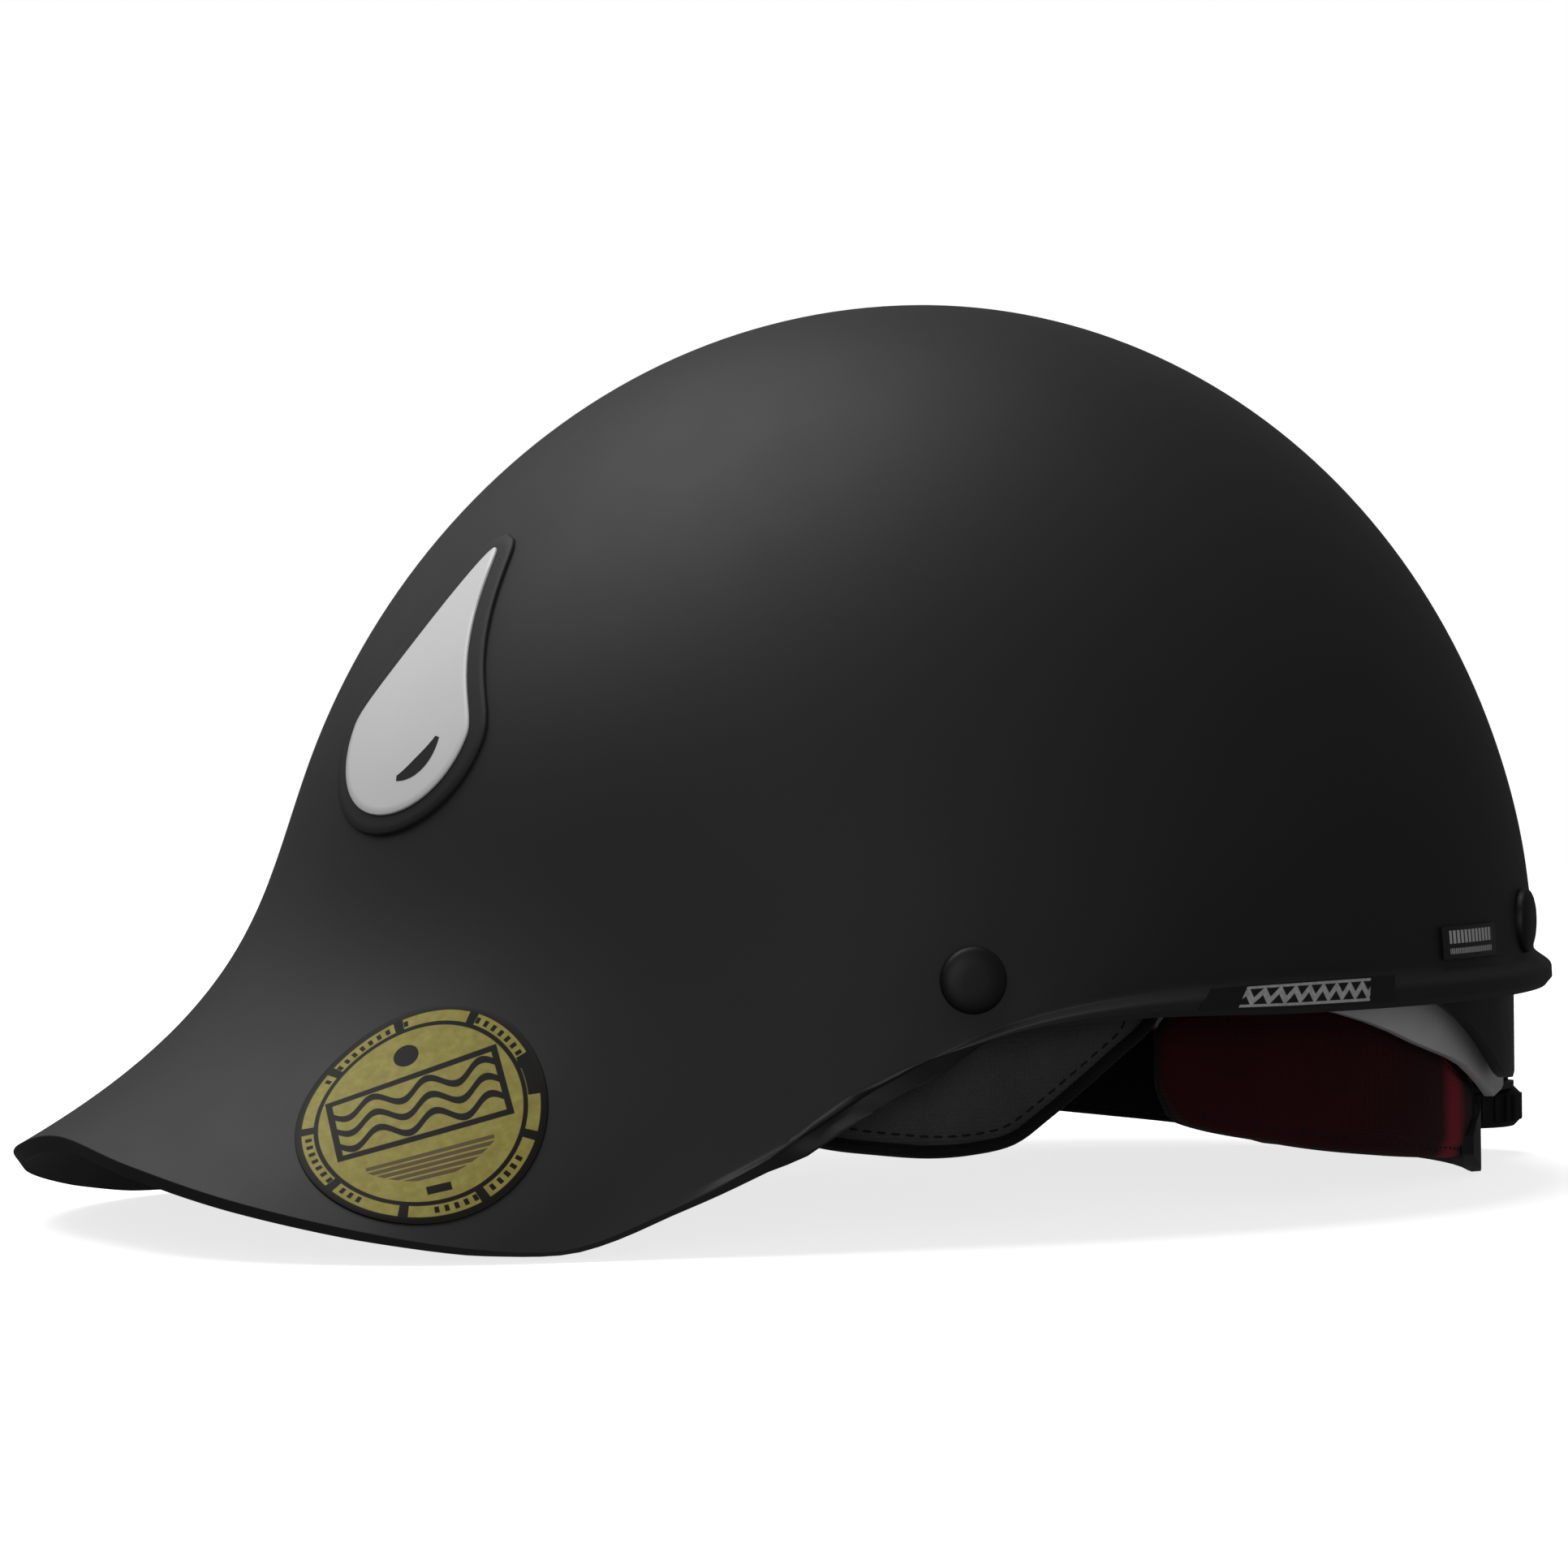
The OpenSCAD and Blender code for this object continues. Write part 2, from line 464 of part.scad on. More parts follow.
module adjuster_base() color([0.06, 0.06, 0.07]) place() difference() {
  union() {
    translate([0, 0, base_z]) linear_extrude(base_t) polygon(adjuster_plan);
    translate([0, 0, base_z]) linear_extrude(cover_z - base_z) polygon([[5, 127.4], [-12, 128.5],
      [-17, 126.9], [-17.6, 126.2], [-12, 127.5], [5, 126.5]]);
    for (p = posts) translate([p[0], p[1], base_z]) cylinder(r = 1.8, h = cover_z - base_z);
  }
  translate([0, wheel_y, base_z - 1]) cylinder(r = shaft_r + running_gap, h = 4);
  for (p = posts) translate([p[0], p[1], base_z + 2]) cylinder(r = screw_r, h = 12);
}
module adjuster_cover() color([0.07, 0.07, 0.08]) place() difference() {
  union() {
    translate([0, 0, cover_z]) linear_extrude(cover_t) polygon(adjuster_plan);
    translate([-7.2, 112.2, cover_z]) cube([14.4, 7.6, 4.2]);
    left_and_right() translate([5.4, 112.2, cover_z]) cube([1.8, 7.6, 7.6]);
    left_and_right() translate([2.5, 112.2, cover_z + 6.7]) cube([4.7, 7.6, 0.9]);
  }
  translate([0, wheel_y, cover_z - 1]) cylinder(r = stub_r + running_gap, h = 4);
  for (p = posts) translate([p[0], p[1], cover_z - 1]) cylinder(r = screw_r + 0.1, h = 4);
}
module adjuster_screws() color([0.5, 0.5, 0.52]) place() for (p = posts)
  translate([p[0], p[1], cover_z + cover_t]) {
    cylinder(r = 1.9, h = 1.1);
    translate([0, 0, -6.8]) cylinder(r = screw_r - 0.02, h = 6.9);
  }

// ---- thumbwheel and pinion ----
wheel_z1 = base_z - 0.3;
recess_d = 2;
recess_r = 6.4;
module thumbwheel() color([0.05, 0.05, 0.05]) place() translate([0, wheel_y, wheel_z1 - wheel_h]) {
  top = rack_z0 - wheel_z1 + wheel_h;
  rotate_extrude() polygon([[0, 0], [shaft_r, 0], [shaft_r, recess_d], [recess_r, recess_d], [recess_r, 0],
    [wheel_r - 1.6, 0], [wheel_r - 0.6, 1], [wheel_r - 0.6, wheel_h - 1], [wheel_r - 1.6, wheel_h],
    [shaft_r, wheel_h], [shaft_r, top], [0, top]]);
  for (a = [0:15:345]) rotate([0, 0, a]) translate([wheel_r - 0.9, -0.6, 1.3]) cube([0.85, 1.2, wheel_h - 2.6]);
}
// One tooth and the root after it, by radius and angle
tooth_points = [[pinion_r - tooth_down, -11], [pinion_r, -6.5], [pinion_r + tooth_up, -3.2],
  [pinion_r + tooth_up, 3.2], [pinion_r, 6.5], [pinion_r - tooth_down, 11], [pinion_r - tooth_down, 22.5]];
module pinion() color([0.75, 0.75, 0.72]) place() translate([0, wheel_y, rack_z0]) {
  linear_extrude(rack_z1 - rack_z0) polygon([for (i = [0:pinion_teeth - 1], p = tooth_points)
    let (a = 360 / pinion_teeth * i + p[1]) p[0] * [cos(a), sin(a)]]);
  translate([0, 0, rack_z1 - rack_z0]) cylinder(r = stub_r, h = 1.2);
}
module wheel_clip() color([0.6, 0.6, 0.62]) place() translate([0, wheel_y, wheel_z1 - wheel_h]) difference() {
  translate([0, 0, recess_d - 0.7]) cylinder(r = 3, h = 0.7);
  cylinder(r = shaft_r, h = 3);
}

// ---- chin strap, turned up into the bowl ----
strap_d = pad_in + 1.8;
rivet_at = skin(side_rivet[0], side_rivet[1]);
rivet_n = level(skin_normal(side_rivet[0], side_rivet[1]));
rivet_t = [-rivet_n[1], rivet_n[0], 0];
// From the rivet down behind the shell, in below the liner and up: [distance in, height]
tab_rows = [[5.8, 14], [5.2, 10], [4.8, 6.5], [4.8, 3.4], [6, 1.9], [9, 1.5], [14, 1.6], [20, 2], [25, 3.2], [27.6, 5.8], [28.8, 9]];
// The arch across the bowl, by its angle from the left side
function arch(f) =
  let (y = rivet_at[1] + 9 + 22 * smooth(sin(f)), k = sqrt(1 - pow(y / (front_len - strap_d), 2)))
  [(half_w - strap_d) * k * cos(f), y, (dome_h - strap_d) * k * sin(f)];
function arch_width(f) =
  let (p = arch(f), n = unit([p[0] / pow(half_w, 2), p[1] / pow(front_len, 2), p[2] / pow(dome_h, 2)]))
  unit(cross(n, unit(arch(f + 1) - arch(f - 1))));
function strap_rings(f0, f1, steps) = concat(
  [for (r = tab_rows) [rivet_at - rivet_n * r[0] + [0, 0, r[1] - rivet_at[2]], -rivet_t]],
  [for (i = [0:steps]) let (f = f0 + (f1 - f0) * i / steps) [arch(f), arch_width(f)]]);

// Webbing along [point, width direction] pairs
module webbing(rings) {
  last = len(rings) - 1;
  bar([for (i = [0:last]) let (p = rings[i][0], w = rings[i][1] * web_w / 2,
    t = unit(rings[min(i + 1, last)][0] - rings[max(i - 1, 0)][0]), n = unit(cross(t, rings[i][1])) * web_t / 2)
    [p - w - n, p + w - n, p + w + n, p - w + n]]);
}
module chin_strap_left() color([0.07, 0.07, 0.07]) place() difference() {
  webbing(strap_rings(9, 64, 12));
  on_skin(side_rivet) translate([0, 0, -12]) cylinder(r = shank_r + 0.05, h = 11);
}
module chin_strap_right() color([0.07, 0.07, 0.07]) place() difference() {
  mirror([1, 0, 0]) webbing(strap_rings(9, 97, 20));
  mirror([1, 0, 0]) on_skin(side_rivet) translate([0, 0, -12]) cylinder(r = shank_r + 0.05, h = 11);
}
// Stands a piece on the arch, with +X along the strap, +Y across and +Z into the bowl
module on_arch(f) {
  x = unit(arch(f + 1) - arch(f - 1));
  y = -arch_width(f);
  z = cross(x, y);
  p = arch(f);
  multmatrix([[x[0], y[0], z[0], p[0]], [x[1], y[1], z[1], p[1]], [x[2], y[2], z[2], p[2]]]) children();
}
buckle_w = 26;
buckle_t = 6;
buckle_f = 72;
buckle_up = 3.3;
// Box with rounded upright edges
module rounded(x, y, z, r) linear_extrude(z) offset(r) square([x - 2 * r, y - 2 * r], center = true);

module buckle_socket() color([0.06, 0.06, 0.06]) place() on_arch(buckle_f) translate([-5, 0, buckle_up]) difference() {
  rounded(22, buckle_w, buckle_t, 3);
  translate([-2, -9, 1.4]) cube([14, 18, buckle_t - 2.8]);
}
module buckle_plug() color([0.06, 0.06, 0.06]) place() on_arch(buckle_f) translate([-5, 0, buckle_up]) {
  translate([11.4, -10, 0]) cube([9, 20, buckle_t]);
  translate([-0.5, -7, 1.8]) cube([12.2, 14, buckle_t - 3.6]);
}
module strap_slider() color([0.06, 0.06, 0.06]) place() on_arch(118) translate([0, 0, 1.3]) difference() {
  rounded(14, 25, 2.4, 2);
  for (x = [-4.4, 2.4]) translate([x, -web_w / 2, -1]) cube([2, web_w, 5]);
}
module strap_keeper() color([0.1, 0.1, 0.1]) place() on_arch(40) difference() {
  translate([-4, -web_w / 2 - 1.6, -1.3]) cube([8, web_w + 3.2, 4]);
  translate([-5, -web_w / 2 - 0.4, -0.9]) cube([10, web_w + 0.8, 2.8]);
}

outer_shell();
impact_liner();
brow_pad();
crown_pad();
side_pad_left();
side_pad_right();
rear_pad();
ear_pad_left();
ear_pad_right();
side_rivets();
side_washers();
rear_rivets();
rear_washers();
front_emblem();
round_sticker();
rim_label();
rear_label();
arm_bracket_left();
arm_bracket_right();
arm_pins();
rear_hanger();
chin_strap_left();
chin_strap_right();
buckle_socket();
buckle_plug();
strap_slider();
strap_keeper();
neck_pad();
cradle_plate();
adjuster_base();
adjuster_cover();
adjuster_screws();
thumbwheel();
pinion();
wheel_clip();
arm_left();
arm_right();
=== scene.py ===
import json
import math

import bmesh
import bpy
import numpy as np
from mathutils import Matrix, Vector


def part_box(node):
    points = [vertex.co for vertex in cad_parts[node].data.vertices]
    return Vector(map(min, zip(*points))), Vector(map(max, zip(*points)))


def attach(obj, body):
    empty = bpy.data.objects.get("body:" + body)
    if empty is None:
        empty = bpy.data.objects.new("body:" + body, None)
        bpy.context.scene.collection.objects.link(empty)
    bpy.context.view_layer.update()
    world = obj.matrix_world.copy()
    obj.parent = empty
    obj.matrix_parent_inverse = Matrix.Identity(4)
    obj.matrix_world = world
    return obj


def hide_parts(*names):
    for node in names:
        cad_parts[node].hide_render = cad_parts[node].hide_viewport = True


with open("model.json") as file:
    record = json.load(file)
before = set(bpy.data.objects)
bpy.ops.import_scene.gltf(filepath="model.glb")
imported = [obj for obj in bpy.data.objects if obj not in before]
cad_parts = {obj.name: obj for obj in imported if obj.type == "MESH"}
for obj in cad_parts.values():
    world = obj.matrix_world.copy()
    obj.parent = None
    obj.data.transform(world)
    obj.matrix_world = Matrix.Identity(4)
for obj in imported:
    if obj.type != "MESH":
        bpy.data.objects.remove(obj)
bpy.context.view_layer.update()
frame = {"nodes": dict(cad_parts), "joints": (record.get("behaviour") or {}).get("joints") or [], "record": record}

# ---- driving dimensions, in mm about the middle of the dome; +X is the wearer's left, -Y the front ----
HALF_W, FRONT_LEN, REAR_LEN, DOME_H = 104.0, 127.0, 119.0, 127.6
BROW_Z, FLAT, FOLLOW = 45.0, 0.012, 0.6
RIM_SLOPE = 0.0162
SHELL_T = 3.0
LIP_OUT, LIP_H = 3.2, 7.0

# The dome's middle in the frame: below the shell's top, and level with the arms' pivots
pivot = next(j for j in frame["joints"] if j["name"] == "arm_left_swing")["pos_m"]
MIDDLE = np.array([0.0, pivot[1] * 1000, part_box("outer_shell")[1][2] * 1000 - DOME_H])


def metres(points):
    """Points in mm about the dome's middle, as metres in the frame."""
    return (np.asarray(points, float) + MIDDLE) / 1000


# ---- the shell's surface ----
# The skirt by direction from the front in degrees: [direction, edge x, y, z, bend x, y, z]
SKIRT = [
    [0, 0, -177, -19.5, 0, -127, 1.5],
    [14, 25, -174.5, -23, 27, -123.5, 1],
    [27, 47, -165, -28, 50, -113.5, -0.5],
    [39, 65, -148.5, -33, 68, -99, -3.5],
    [47, 76, -131, -36.3, 79, -87, -7],
    [53, 81.5, -116, -36.8, 86, -76, -7],
    [60, 87, -99, -30.5, 93, -63, -4],
    [68, 92.5, -82, -22, 98.5, -48, 0],
    [75, 97, -65, -11.5, 101.5, -33, 4],
    [83, 101.5, -43.5, -2.5, 103.5, -16, 10],
    [92, 103.8, -18, 0, 104, -1, 15],
    [103, 102.3, 18, -0.7, 101.5, 22, 15],
]
for u in (116, 130, 145, 160, 180):
    x, y = HALF_W * math.sin(math.radians(u)), -REAR_LEN * math.cos(math.radians(u))
    SKIRT.append([u, x, y, -0.3 - RIM_SLOPE * y, 0.995 * x, 0.995 * y, 15])
ACROSS = np.array([-1, -1, 1, 1, -1, 1, 1])
SKIRT = np.array(
    [SKIRT[1] * ACROSS] + SKIRT + [SKIRT[-2] * ACROSS + np.array([360, 0, 0, 0, 0, 0, 0])]
)


def unit(v):
    return v / np.maximum(np.linalg.norm(v, axis=-1, keepdims=True), 1e-9)


def smooth(t):
    t = np.clip(t, 0, 1)
    return t * t * (3 - 2 * t)


def cubic(table, at):
    """Smooth curve through the rows of a table, whose first column is the position."""
    table = np.asarray(table, float)
    x, y = table[:, 0], table[:, 1:]
    at = np.asarray(at, float)
    lo, hi = np.maximum(np.arange(len(x)) - 1, 0), np.minimum(np.arange(len(x)) + 1, len(x) - 1)
    slope = (y[hi] - y[lo]) / (x[hi] - x[lo])[:, None]
    i = np.clip(np.searchsorted(x, at, side="left") - 1, 0, len(x) - 2)
    h = (x[i + 1] - x[i])[..., None]
    t = (at - x[i])[..., None] / h
    return (
        (2 * t**3 - 3 * t**2 + 1) * y[i]
        + (t**3 - 2 * t**2 + t) * h * slope[i]
        + (3 * t**2 - 2 * t**3) * y[i + 1]
        + (t**3 - t**2) * h * slope[i + 1]
    )


def dome(u, w, inset=0.0):
    """Point of the dome in direction u at elevation w, some way inside the outer surface."""
    u, w = np.radians(u), np.radians(w)
    k = np.sin(2 * w) ** 2 * np.maximum(np.cos(u), 0)
    q = np.cos(w) * (1 - FLAT * k)
    a = np.where(np.cos(u) > 0, FRONT_LEN, REAR_LEN) - inset
    x = (HALF_W - inset) * q * np.sin(u)
    z = (DOME_H - inset) * np.sin(w) * (1 - 0.4 * FLAT * k)
    return np.stack([x, -a * q * np.cos(u), z], -1)


BROW_W = math.degrees(math.asin(BROW_Z / DOME_H))


def skin(u, v):
    """Point of the outer surface: v runs from 0 at the top to 1 at the brow and 2 at the edge."""
    u, v = np.broadcast_arrays(np.asarray(u, float) % 360, np.asarray(v, float))
    side = np.where(u <= 180, 1.0, -1.0)
    m = np.where(u <= 180, u, 360 - u)
    top = dome(m, 90 - (90 - BROW_W) * np.minimum(v, 1))
    s = cubic(SKIRT, m)
    edge, bend = s[..., :3], s[..., 3:]
    p0 = dome(m, BROW_W)
    run = unit(dome(m, BROW_W - 0.5) - dome(m, BROW_W + 0.5))
    p1 = p0 + run * np.linalg.norm(bend - p0, axis=-1, keepdims=True) * FOLLOW
    t = np.maximum(v - 1, 0)[..., None]
    low = (1 - t) ** 3 * p0 + 3 * (1 - t) ** 2 * t * p1 + 3 * (1 - t) * t**2 * bend + t**3 * edge
    p = np.where((v <= 1)[..., None], top, low)
    p[..., 0] *= side
    return p


def skin_normal(u, v):
    """Outward direction of the surface."""
    u, v = np.broadcast_arrays(np.asarray(u, float), np.asarray(v, float))
    e = 0.01
    v0 = np.clip(v, 0.02, 2 - e)
    n = unit(np.cross(skin(u, v0 + e) - skin(u, v0 - e), skin(u + 1, v0) - skin(u - 1, v0)))
    return np.where((v < 0.02)[..., None], np.array([0, 0, 1.0]), n)


def level(v):
    return unit(v * np.array([1, 1, 0]))


def from_edge(u, d):
    """The parameter v at d mm up from the edge."""
    m = np.asarray(u, float) % 360
    s = cubic(SKIRT, np.where(m <= 180, m, 360 - m))
    return 2 - np.asarray(d) / (3 * np.linalg.norm(s[..., :3] - s[..., 3:], axis=-1))


def lip(u, d):
    """How far the rim turns out at d mm up from its edge."""
    m = np.asarray(u, float) % 360
    m = np.where(m <= 180, m, 360 - m)
    d = np.asarray(d, float)
    low = 0.62 + 1.9 * d / LIP_H
    rise = np.where(d < 0.2 * LIP_H, low, np.where(d < 0.5 * LIP_H, 1, smooth((LIP_H - d) / (0.5 * LIP_H))))
    return LIP_OUT * smooth((m - 60) / 14) * rise


# ---- materials ----
class Nodes:
    """A material's node tree, with short calls to add and join nodes."""

    def __init__(self, name, base, rough, **shader):
        self.material = bpy.data.materials.new(name)
        self.material.use_nodes = True
        self.tree = self.material.node_tree
        self.bsdf = next(n for n in self.tree.nodes if n.type == "BSDF_PRINCIPLED")
        self.bsdf.inputs["Base Color"].default_value = (*base, 1)
        self.bsdf.inputs["Roughness"].default_value = rough
        for key, value in shader.items():
            self.bsdf.inputs[key.replace("_", " ")].default_value = value

    def add(self, kind, inputs=(), **settings):
        node = self.tree.nodes.new(kind)
        for key, value in settings.items():
            setattr(node, key, value)
        for key, value in dict(inputs).items():
            self.join(value, node.inputs[key])
        return node

    def join(self, value, socket):
        if isinstance(value, bpy.types.NodeSocket):
            self.tree.links.new(value, socket)
        elif isinstance(value, bpy.types.Node):
            self.tree.links.new(value.outputs[0], socket)
        else:
            socket.default_value = value

    def place(self, scale=(1, 1, 1), turn=(0, 0, 0)):
        """Object coordinates in mm, scaled and turned."""
        coords = self.add("ShaderNodeTexCoord")
        size = tuple(1000 * s for s in scale)
        return self.add("ShaderNodeMapping", {"Vector": coords.outputs["Object"], "Scale": size, "Rotation": turn})

    def noise(self, vector, scale, detail=3.0, rough=0.55, distortion=0.0):
        return self.add(
            "ShaderNodeTexNoise",
            {"Vector": vector, "Scale": scale, "Detail": detail, "Roughness": rough, "Distortion": distortion},
        )

    def ramp(self, value, stops):
        node = self.add("ShaderNodeValToRGB", {"Fac": value})
        ramp = node.color_ramp
        for i, (at, colour) in enumerate(stops):
            stop = ramp.elements[i] if i < 2 else ramp.elements.new(at)
            stop.position, stop.color = at, (*colour, 1)
        return node

    def maths(self, operation, a, b=0.0, clamp=False):
        return self.add("ShaderNodeMath", {0: a, 1: b}, operation=operation, use_clamp=clamp)

    def bump(self, height, distance, strength=1.0, normal=None):
        inputs = {"Height": height, "Distance": distance, "Strength": strength}
        if normal:
            inputs["Normal"] = normal
        return self.add("ShaderNodeBump", inputs)

    def done(self, colour=None, rough=None, normal=None):
        if colour:
            self.join(colour, self.bsdf.inputs["Base Color"])
        if rough:
            self.join(rough, self.bsdf.inputs["Roughness"])
        if normal:
            self.join(normal, self.bsdf.inputs["Normal"])
        return self.material


def grey(v):
    return (v, v, v)


def moulded(name, base, rough, grain=0.012, scale=1.6, spread=0.15, uneven=0.05, **shader):
    """Moulded plastic: fine grain, faint mottling and uneven gloss."""
    n = Nodes(name, base, rough, **shader)
    where = n.place()
    fine = n.noise(where, scale, 4)
    broad = n.noise(where, 0.03, 3)
    dark, light = [tuple(c * (1 + k * spread) for c in base) for k in (-1, 1)]
    colour = n.ramp(broad, [(0.3, dark), (0.7, light)])
    gloss = n.ramp(n.noise(where, 0.09, 5), [(0.3, grey(rough - uneven)), (0.7, grey(rough + uneven))])
    return n.done(colour, gloss, n.bump(fine, grain / 1000, 0.6))


def metal(name, base, rough):
    n = Nodes(name, base, rough, Metallic=1.0)
    where = n.place((1, 1, 0.15))
    gloss = n.ramp(n.noise(where, 2.0, 3), [(0.3, grey(rough - 0.08)), (0.7, grey(rough + 0.08))])
    return n.done(None, gloss, n.bump(n.noise(where, 3.0, 2), 0.006 / 1000, 0.5))


def flat_coordinates(n):
    """A patch's own coordinates in mm, as two sockets."""
    uv = n.add("ShaderNodeUVMap", uv_map="flat")
    parts = n.add("ShaderNodeSeparateXYZ", {"Vector": uv.outputs[0]})
    p = n.maths("MULTIPLY", n.maths("SUBTRACT", parts.outputs[0], 0.5), 100)
    q = n.maths("MULTIPLY", n.maths("SUBTRACT", parts.outputs[1], 0.5), 100)
    return p, q


def within(n, value, middle, half, soft=0.12):
    """1 where a value lies within half of the middle, 0 outside, with a soft edge."""
    off = n.maths("ABSOLUTE", n.maths("SUBTRACT", value, middle))
    return n.maths("MULTIPLY", n.maths("SUBTRACT", half + soft / 2, off), 1 / soft, clamp=True)


def either(n, *masks):
    total = masks[0]
    for m in masks[1:]:
        total = n.maths("MAXIMUM", total, m)
    return total


def both(n, *masks):
    total = masks[0]
    for m in masks[1:]:
        total = n.maths("MULTIPLY", total, m)
    return total


def mix(n, mask, a, b):
    return n.add("ShaderNodeMixRGB", {"Fac": mask, "Color1": (*a, 1) if isinstance(a, tuple) else a,
                                      "Color2": (*b, 1) if isinstance(b, tuple) else b})


def knit(name, base, pitch=0.9, rough=0.9, height=0.12, spread=0.3, tint=None):
    """Knitted or jersey cloth: fine crossed ribs with a fibrous fuzz."""
    n = Nodes(name, base, rough, Sheen_Weight=0.03, Sheen_Roughness=0.5, Specular_IOR_Level=0.15)
    where = n.place()
    warp = n.noise(where, 0.35, 2)
    bent = n.add(
        "ShaderNodeMixRGB",
        {"Fac": 0.004, "Color1": where.outputs[0], "Color2": warp.outputs["Color"]},
        blend_type="ADD",
    )
    waves = [
        n.add("ShaderNodeTexWave", {"Vector": bent, "Scale": 0.314 / pitch, "Distortion": 0.6, "Detail": 1.0},
              wave_type="BANDS", bands_direction=d)
        for d in ("X", "Y", "Z")
    ]
    ribs = [w.outputs["Fac"] for w in waves]
    weave = n.maths("ADD", n.maths("MULTIPLY", ribs[0], ribs[1]), ribs[2])
    fuzz = n.noise(where, 3.5, 3)
    broad = n.noise(where, 0.05, 4)
    dark, light = [tuple(c * (1 + k * spread) for c in base) for k in (-1, 1)]
    mottle = n.maths("ADD", n.maths("MULTIPLY", fuzz, 0.5), n.maths("MULTIPLY", broad, 0.5))
    colour = n.ramp(mottle, [(0.35, dark), (0.65, light)])
    if tint:
        colour = tint(n, colour)
    lumps = n.bump(weave, height / 1000, 0.5)
    return n.done(colour, None, n.bump(fuzz, 0.08 / 1000, 0.5, lumps))


# The neck pad's half width, half length and thickness, and the direction of its painted highlight band
NECK_B, NECK_A, NECK_T = 85.5, 108.5, 8.0
NECK_HIGHLIGHT_TURN = 145.0
# How far from its middle line the neck pad is sewn, as a share of its half height
NECK_SEAM = 0.8


def neck_painted_highlight_and_black(n, cloth):
    """A painted highlight: a brighter red band down each rear turn, where light would catch the cloth; nearly black
    past the band and on the inner face.
    """
    parts = n.add("ShaderNodeSeparateXYZ", {"Vector": n.place()})
    across = n.maths("ABSOLUTE", parts.outputs[0])
    behind = n.maths("SUBTRACT", parts.outputs[1], float(MIDDLE[1]))
    turn = n.maths("ARCTAN2", across, n.maths("MULTIPLY", behind, -1))
    off = n.maths("ABSOLUTE", n.maths("SUBTRACT", turn, math.radians(NECK_HIGHLIGHT_TURN)))
    # painted highlight: a brighter red band about this direction, standing in for light on the rear turn
    stripe = n.ramp(n.maths("DIVIDE", off, math.radians(5)), [(0.25, grey(1)), (0.9, grey(0))])
    painted_highlight = mix(n, stripe.outputs[0], cloth.outputs[0], (0.3, 0.012, 0.03))
    past = n.maths("DIVIDE", n.maths("SUBTRACT", turn, math.radians(NECK_HIGHLIGHT_TURN + 5)), math.radians(5))
    # nearly black past the painted highlight band and on the pad's inner face
    black = n.ramp(past, [(0.2, grey(0)), (0.8, grey(1))])
    oval = [n.maths("POWER", n.maths("DIVIDE", a, b), 2) for a, b in ((across, NECK_B), (behind, NECK_A))]
    inner_face = n.maths("LESS_THAN", n.maths("ADD", *oval), 0.91)
    dark = n.maths("MAXIMUM", black.outputs[0], inner_face)
    return mix(n, dark, painted_highlight.outputs[0], (0.004, 0.0015, 0.002))


def foam(name, base):
    n = Nodes(name, base, 0.85)
    where = n.place()
    cells = n.add("ShaderNodeTexVoronoi", {"Vector": where, "Scale": 0.45}, feature="F1")
    beads = n.ramp(cells.outputs["Distance"], [(0.2, grey(1)), (0.7, grey(0))])
    colour = n.ramp(n.noise(where, 0.5, 4), [(0.3, tuple(c * 0.75 for c in base)), (0.7, tuple(c * 1.3 for c in base))])
    return n.done(colour, None, n.bump(beads, 0.25 / 1000, 0.5))


MATERIALS = {
    "shell": moulded("shell_plastic", grey(0.015), 0.58, 0.02, 1.3, 0.05, 0.012, Specular_IOR_Level=0.35),
    "foam": foam("liner_foam", grey(0.035)),
    "pad_fabric": knit("pad_knit", grey(0.03)),
    "ear_fabric": knit("ear_knit", grey(0.05), 0.8),
    # the neck pad's jersey carries a painted highlight band through its tint
    "neoprene": knit("neoprene_jersey", (0.03, 0.0014, 0.003), 0.7, 0.85, tint=neck_painted_highlight_and_black),
    "webbing": knit("webbing_weave", grey(0.02), 1.1),
    "black_plastic": moulded("black_plastic", grey(0.006), 0.5, Specular_IOR_Level=0.35),
    "grey_plastic": moulded("grey_plastic", grey(0.62), 0.5),
    "wheel_plastic": moulded("wheel_rubber", grey(0.004), 0.6, Specular_IOR_Level=0.3),
    "gear_plastic": moulded("gear_plastic", (0.6, 0.6, 0.56), 0.4),
    "rubber": moulded("loop_rubber", grey(0.012), 0.7),
    "binding": knit("binding_tape", grey(0.005), 0.6, 0.8),
    "thread": knit("thread", grey(0.008), 0.5, 0.7),
    "steel": metal("plated_steel", grey(0.55), 0.3),
    "emblem_white": moulded("emblem_white", grey(0.8), 0.35, 0.006, 1.0, 0.02),
    "sticker_gold": moulded("sticker_gold", (0.45, 0.38, 0.1), 0.35),
    "label_dark": moulded("label_dark", grey(0.02), 0.4),
    "label_grey": moulded("label_grey", grey(0.3), 0.4),
}


# ---- making pieces ----
def bodies():
    record = frame["record"]["behaviour"]["bodies"]
    return {node: body for body, nodes in record.items() for node in nodes}


BODY = bodies()
SLOT = {s["node"]: s["material_slot"] for s in frame["record"]["subparts"]}


def piece(name, verts, faces, node, replaces=(), smooth_shade=True, material=None):
    """A new piece from points in mm, which rides with a CAD node and takes its slot."""
    mesh = bpy.data.meshes.new(name)
    mesh.from_pydata([tuple(p) for p in metres(verts)], [], [tuple(f) for f in faces])
    mesh.validate()
    obj = bpy.data.objects.new(name, mesh)
    bpy.context.collection.objects.link(obj)
    return settle(obj, node, replaces, smooth_shade, material)


def settle(obj, node, replaces=(), smooth_shade=True, material=None):
    """Gives a piece its material, slot and body, and hides the CAD nodes that it stands for."""
    obj.data.materials.clear()
    obj.data.materials.append(material or MATERIALS[SLOT[node]])
    if smooth_shade:
        for face in obj.data.polygons:
            face.use_smooth = True
    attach(obj, BODY[node])
    if replaces:
        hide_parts(*replaces)
    return obj


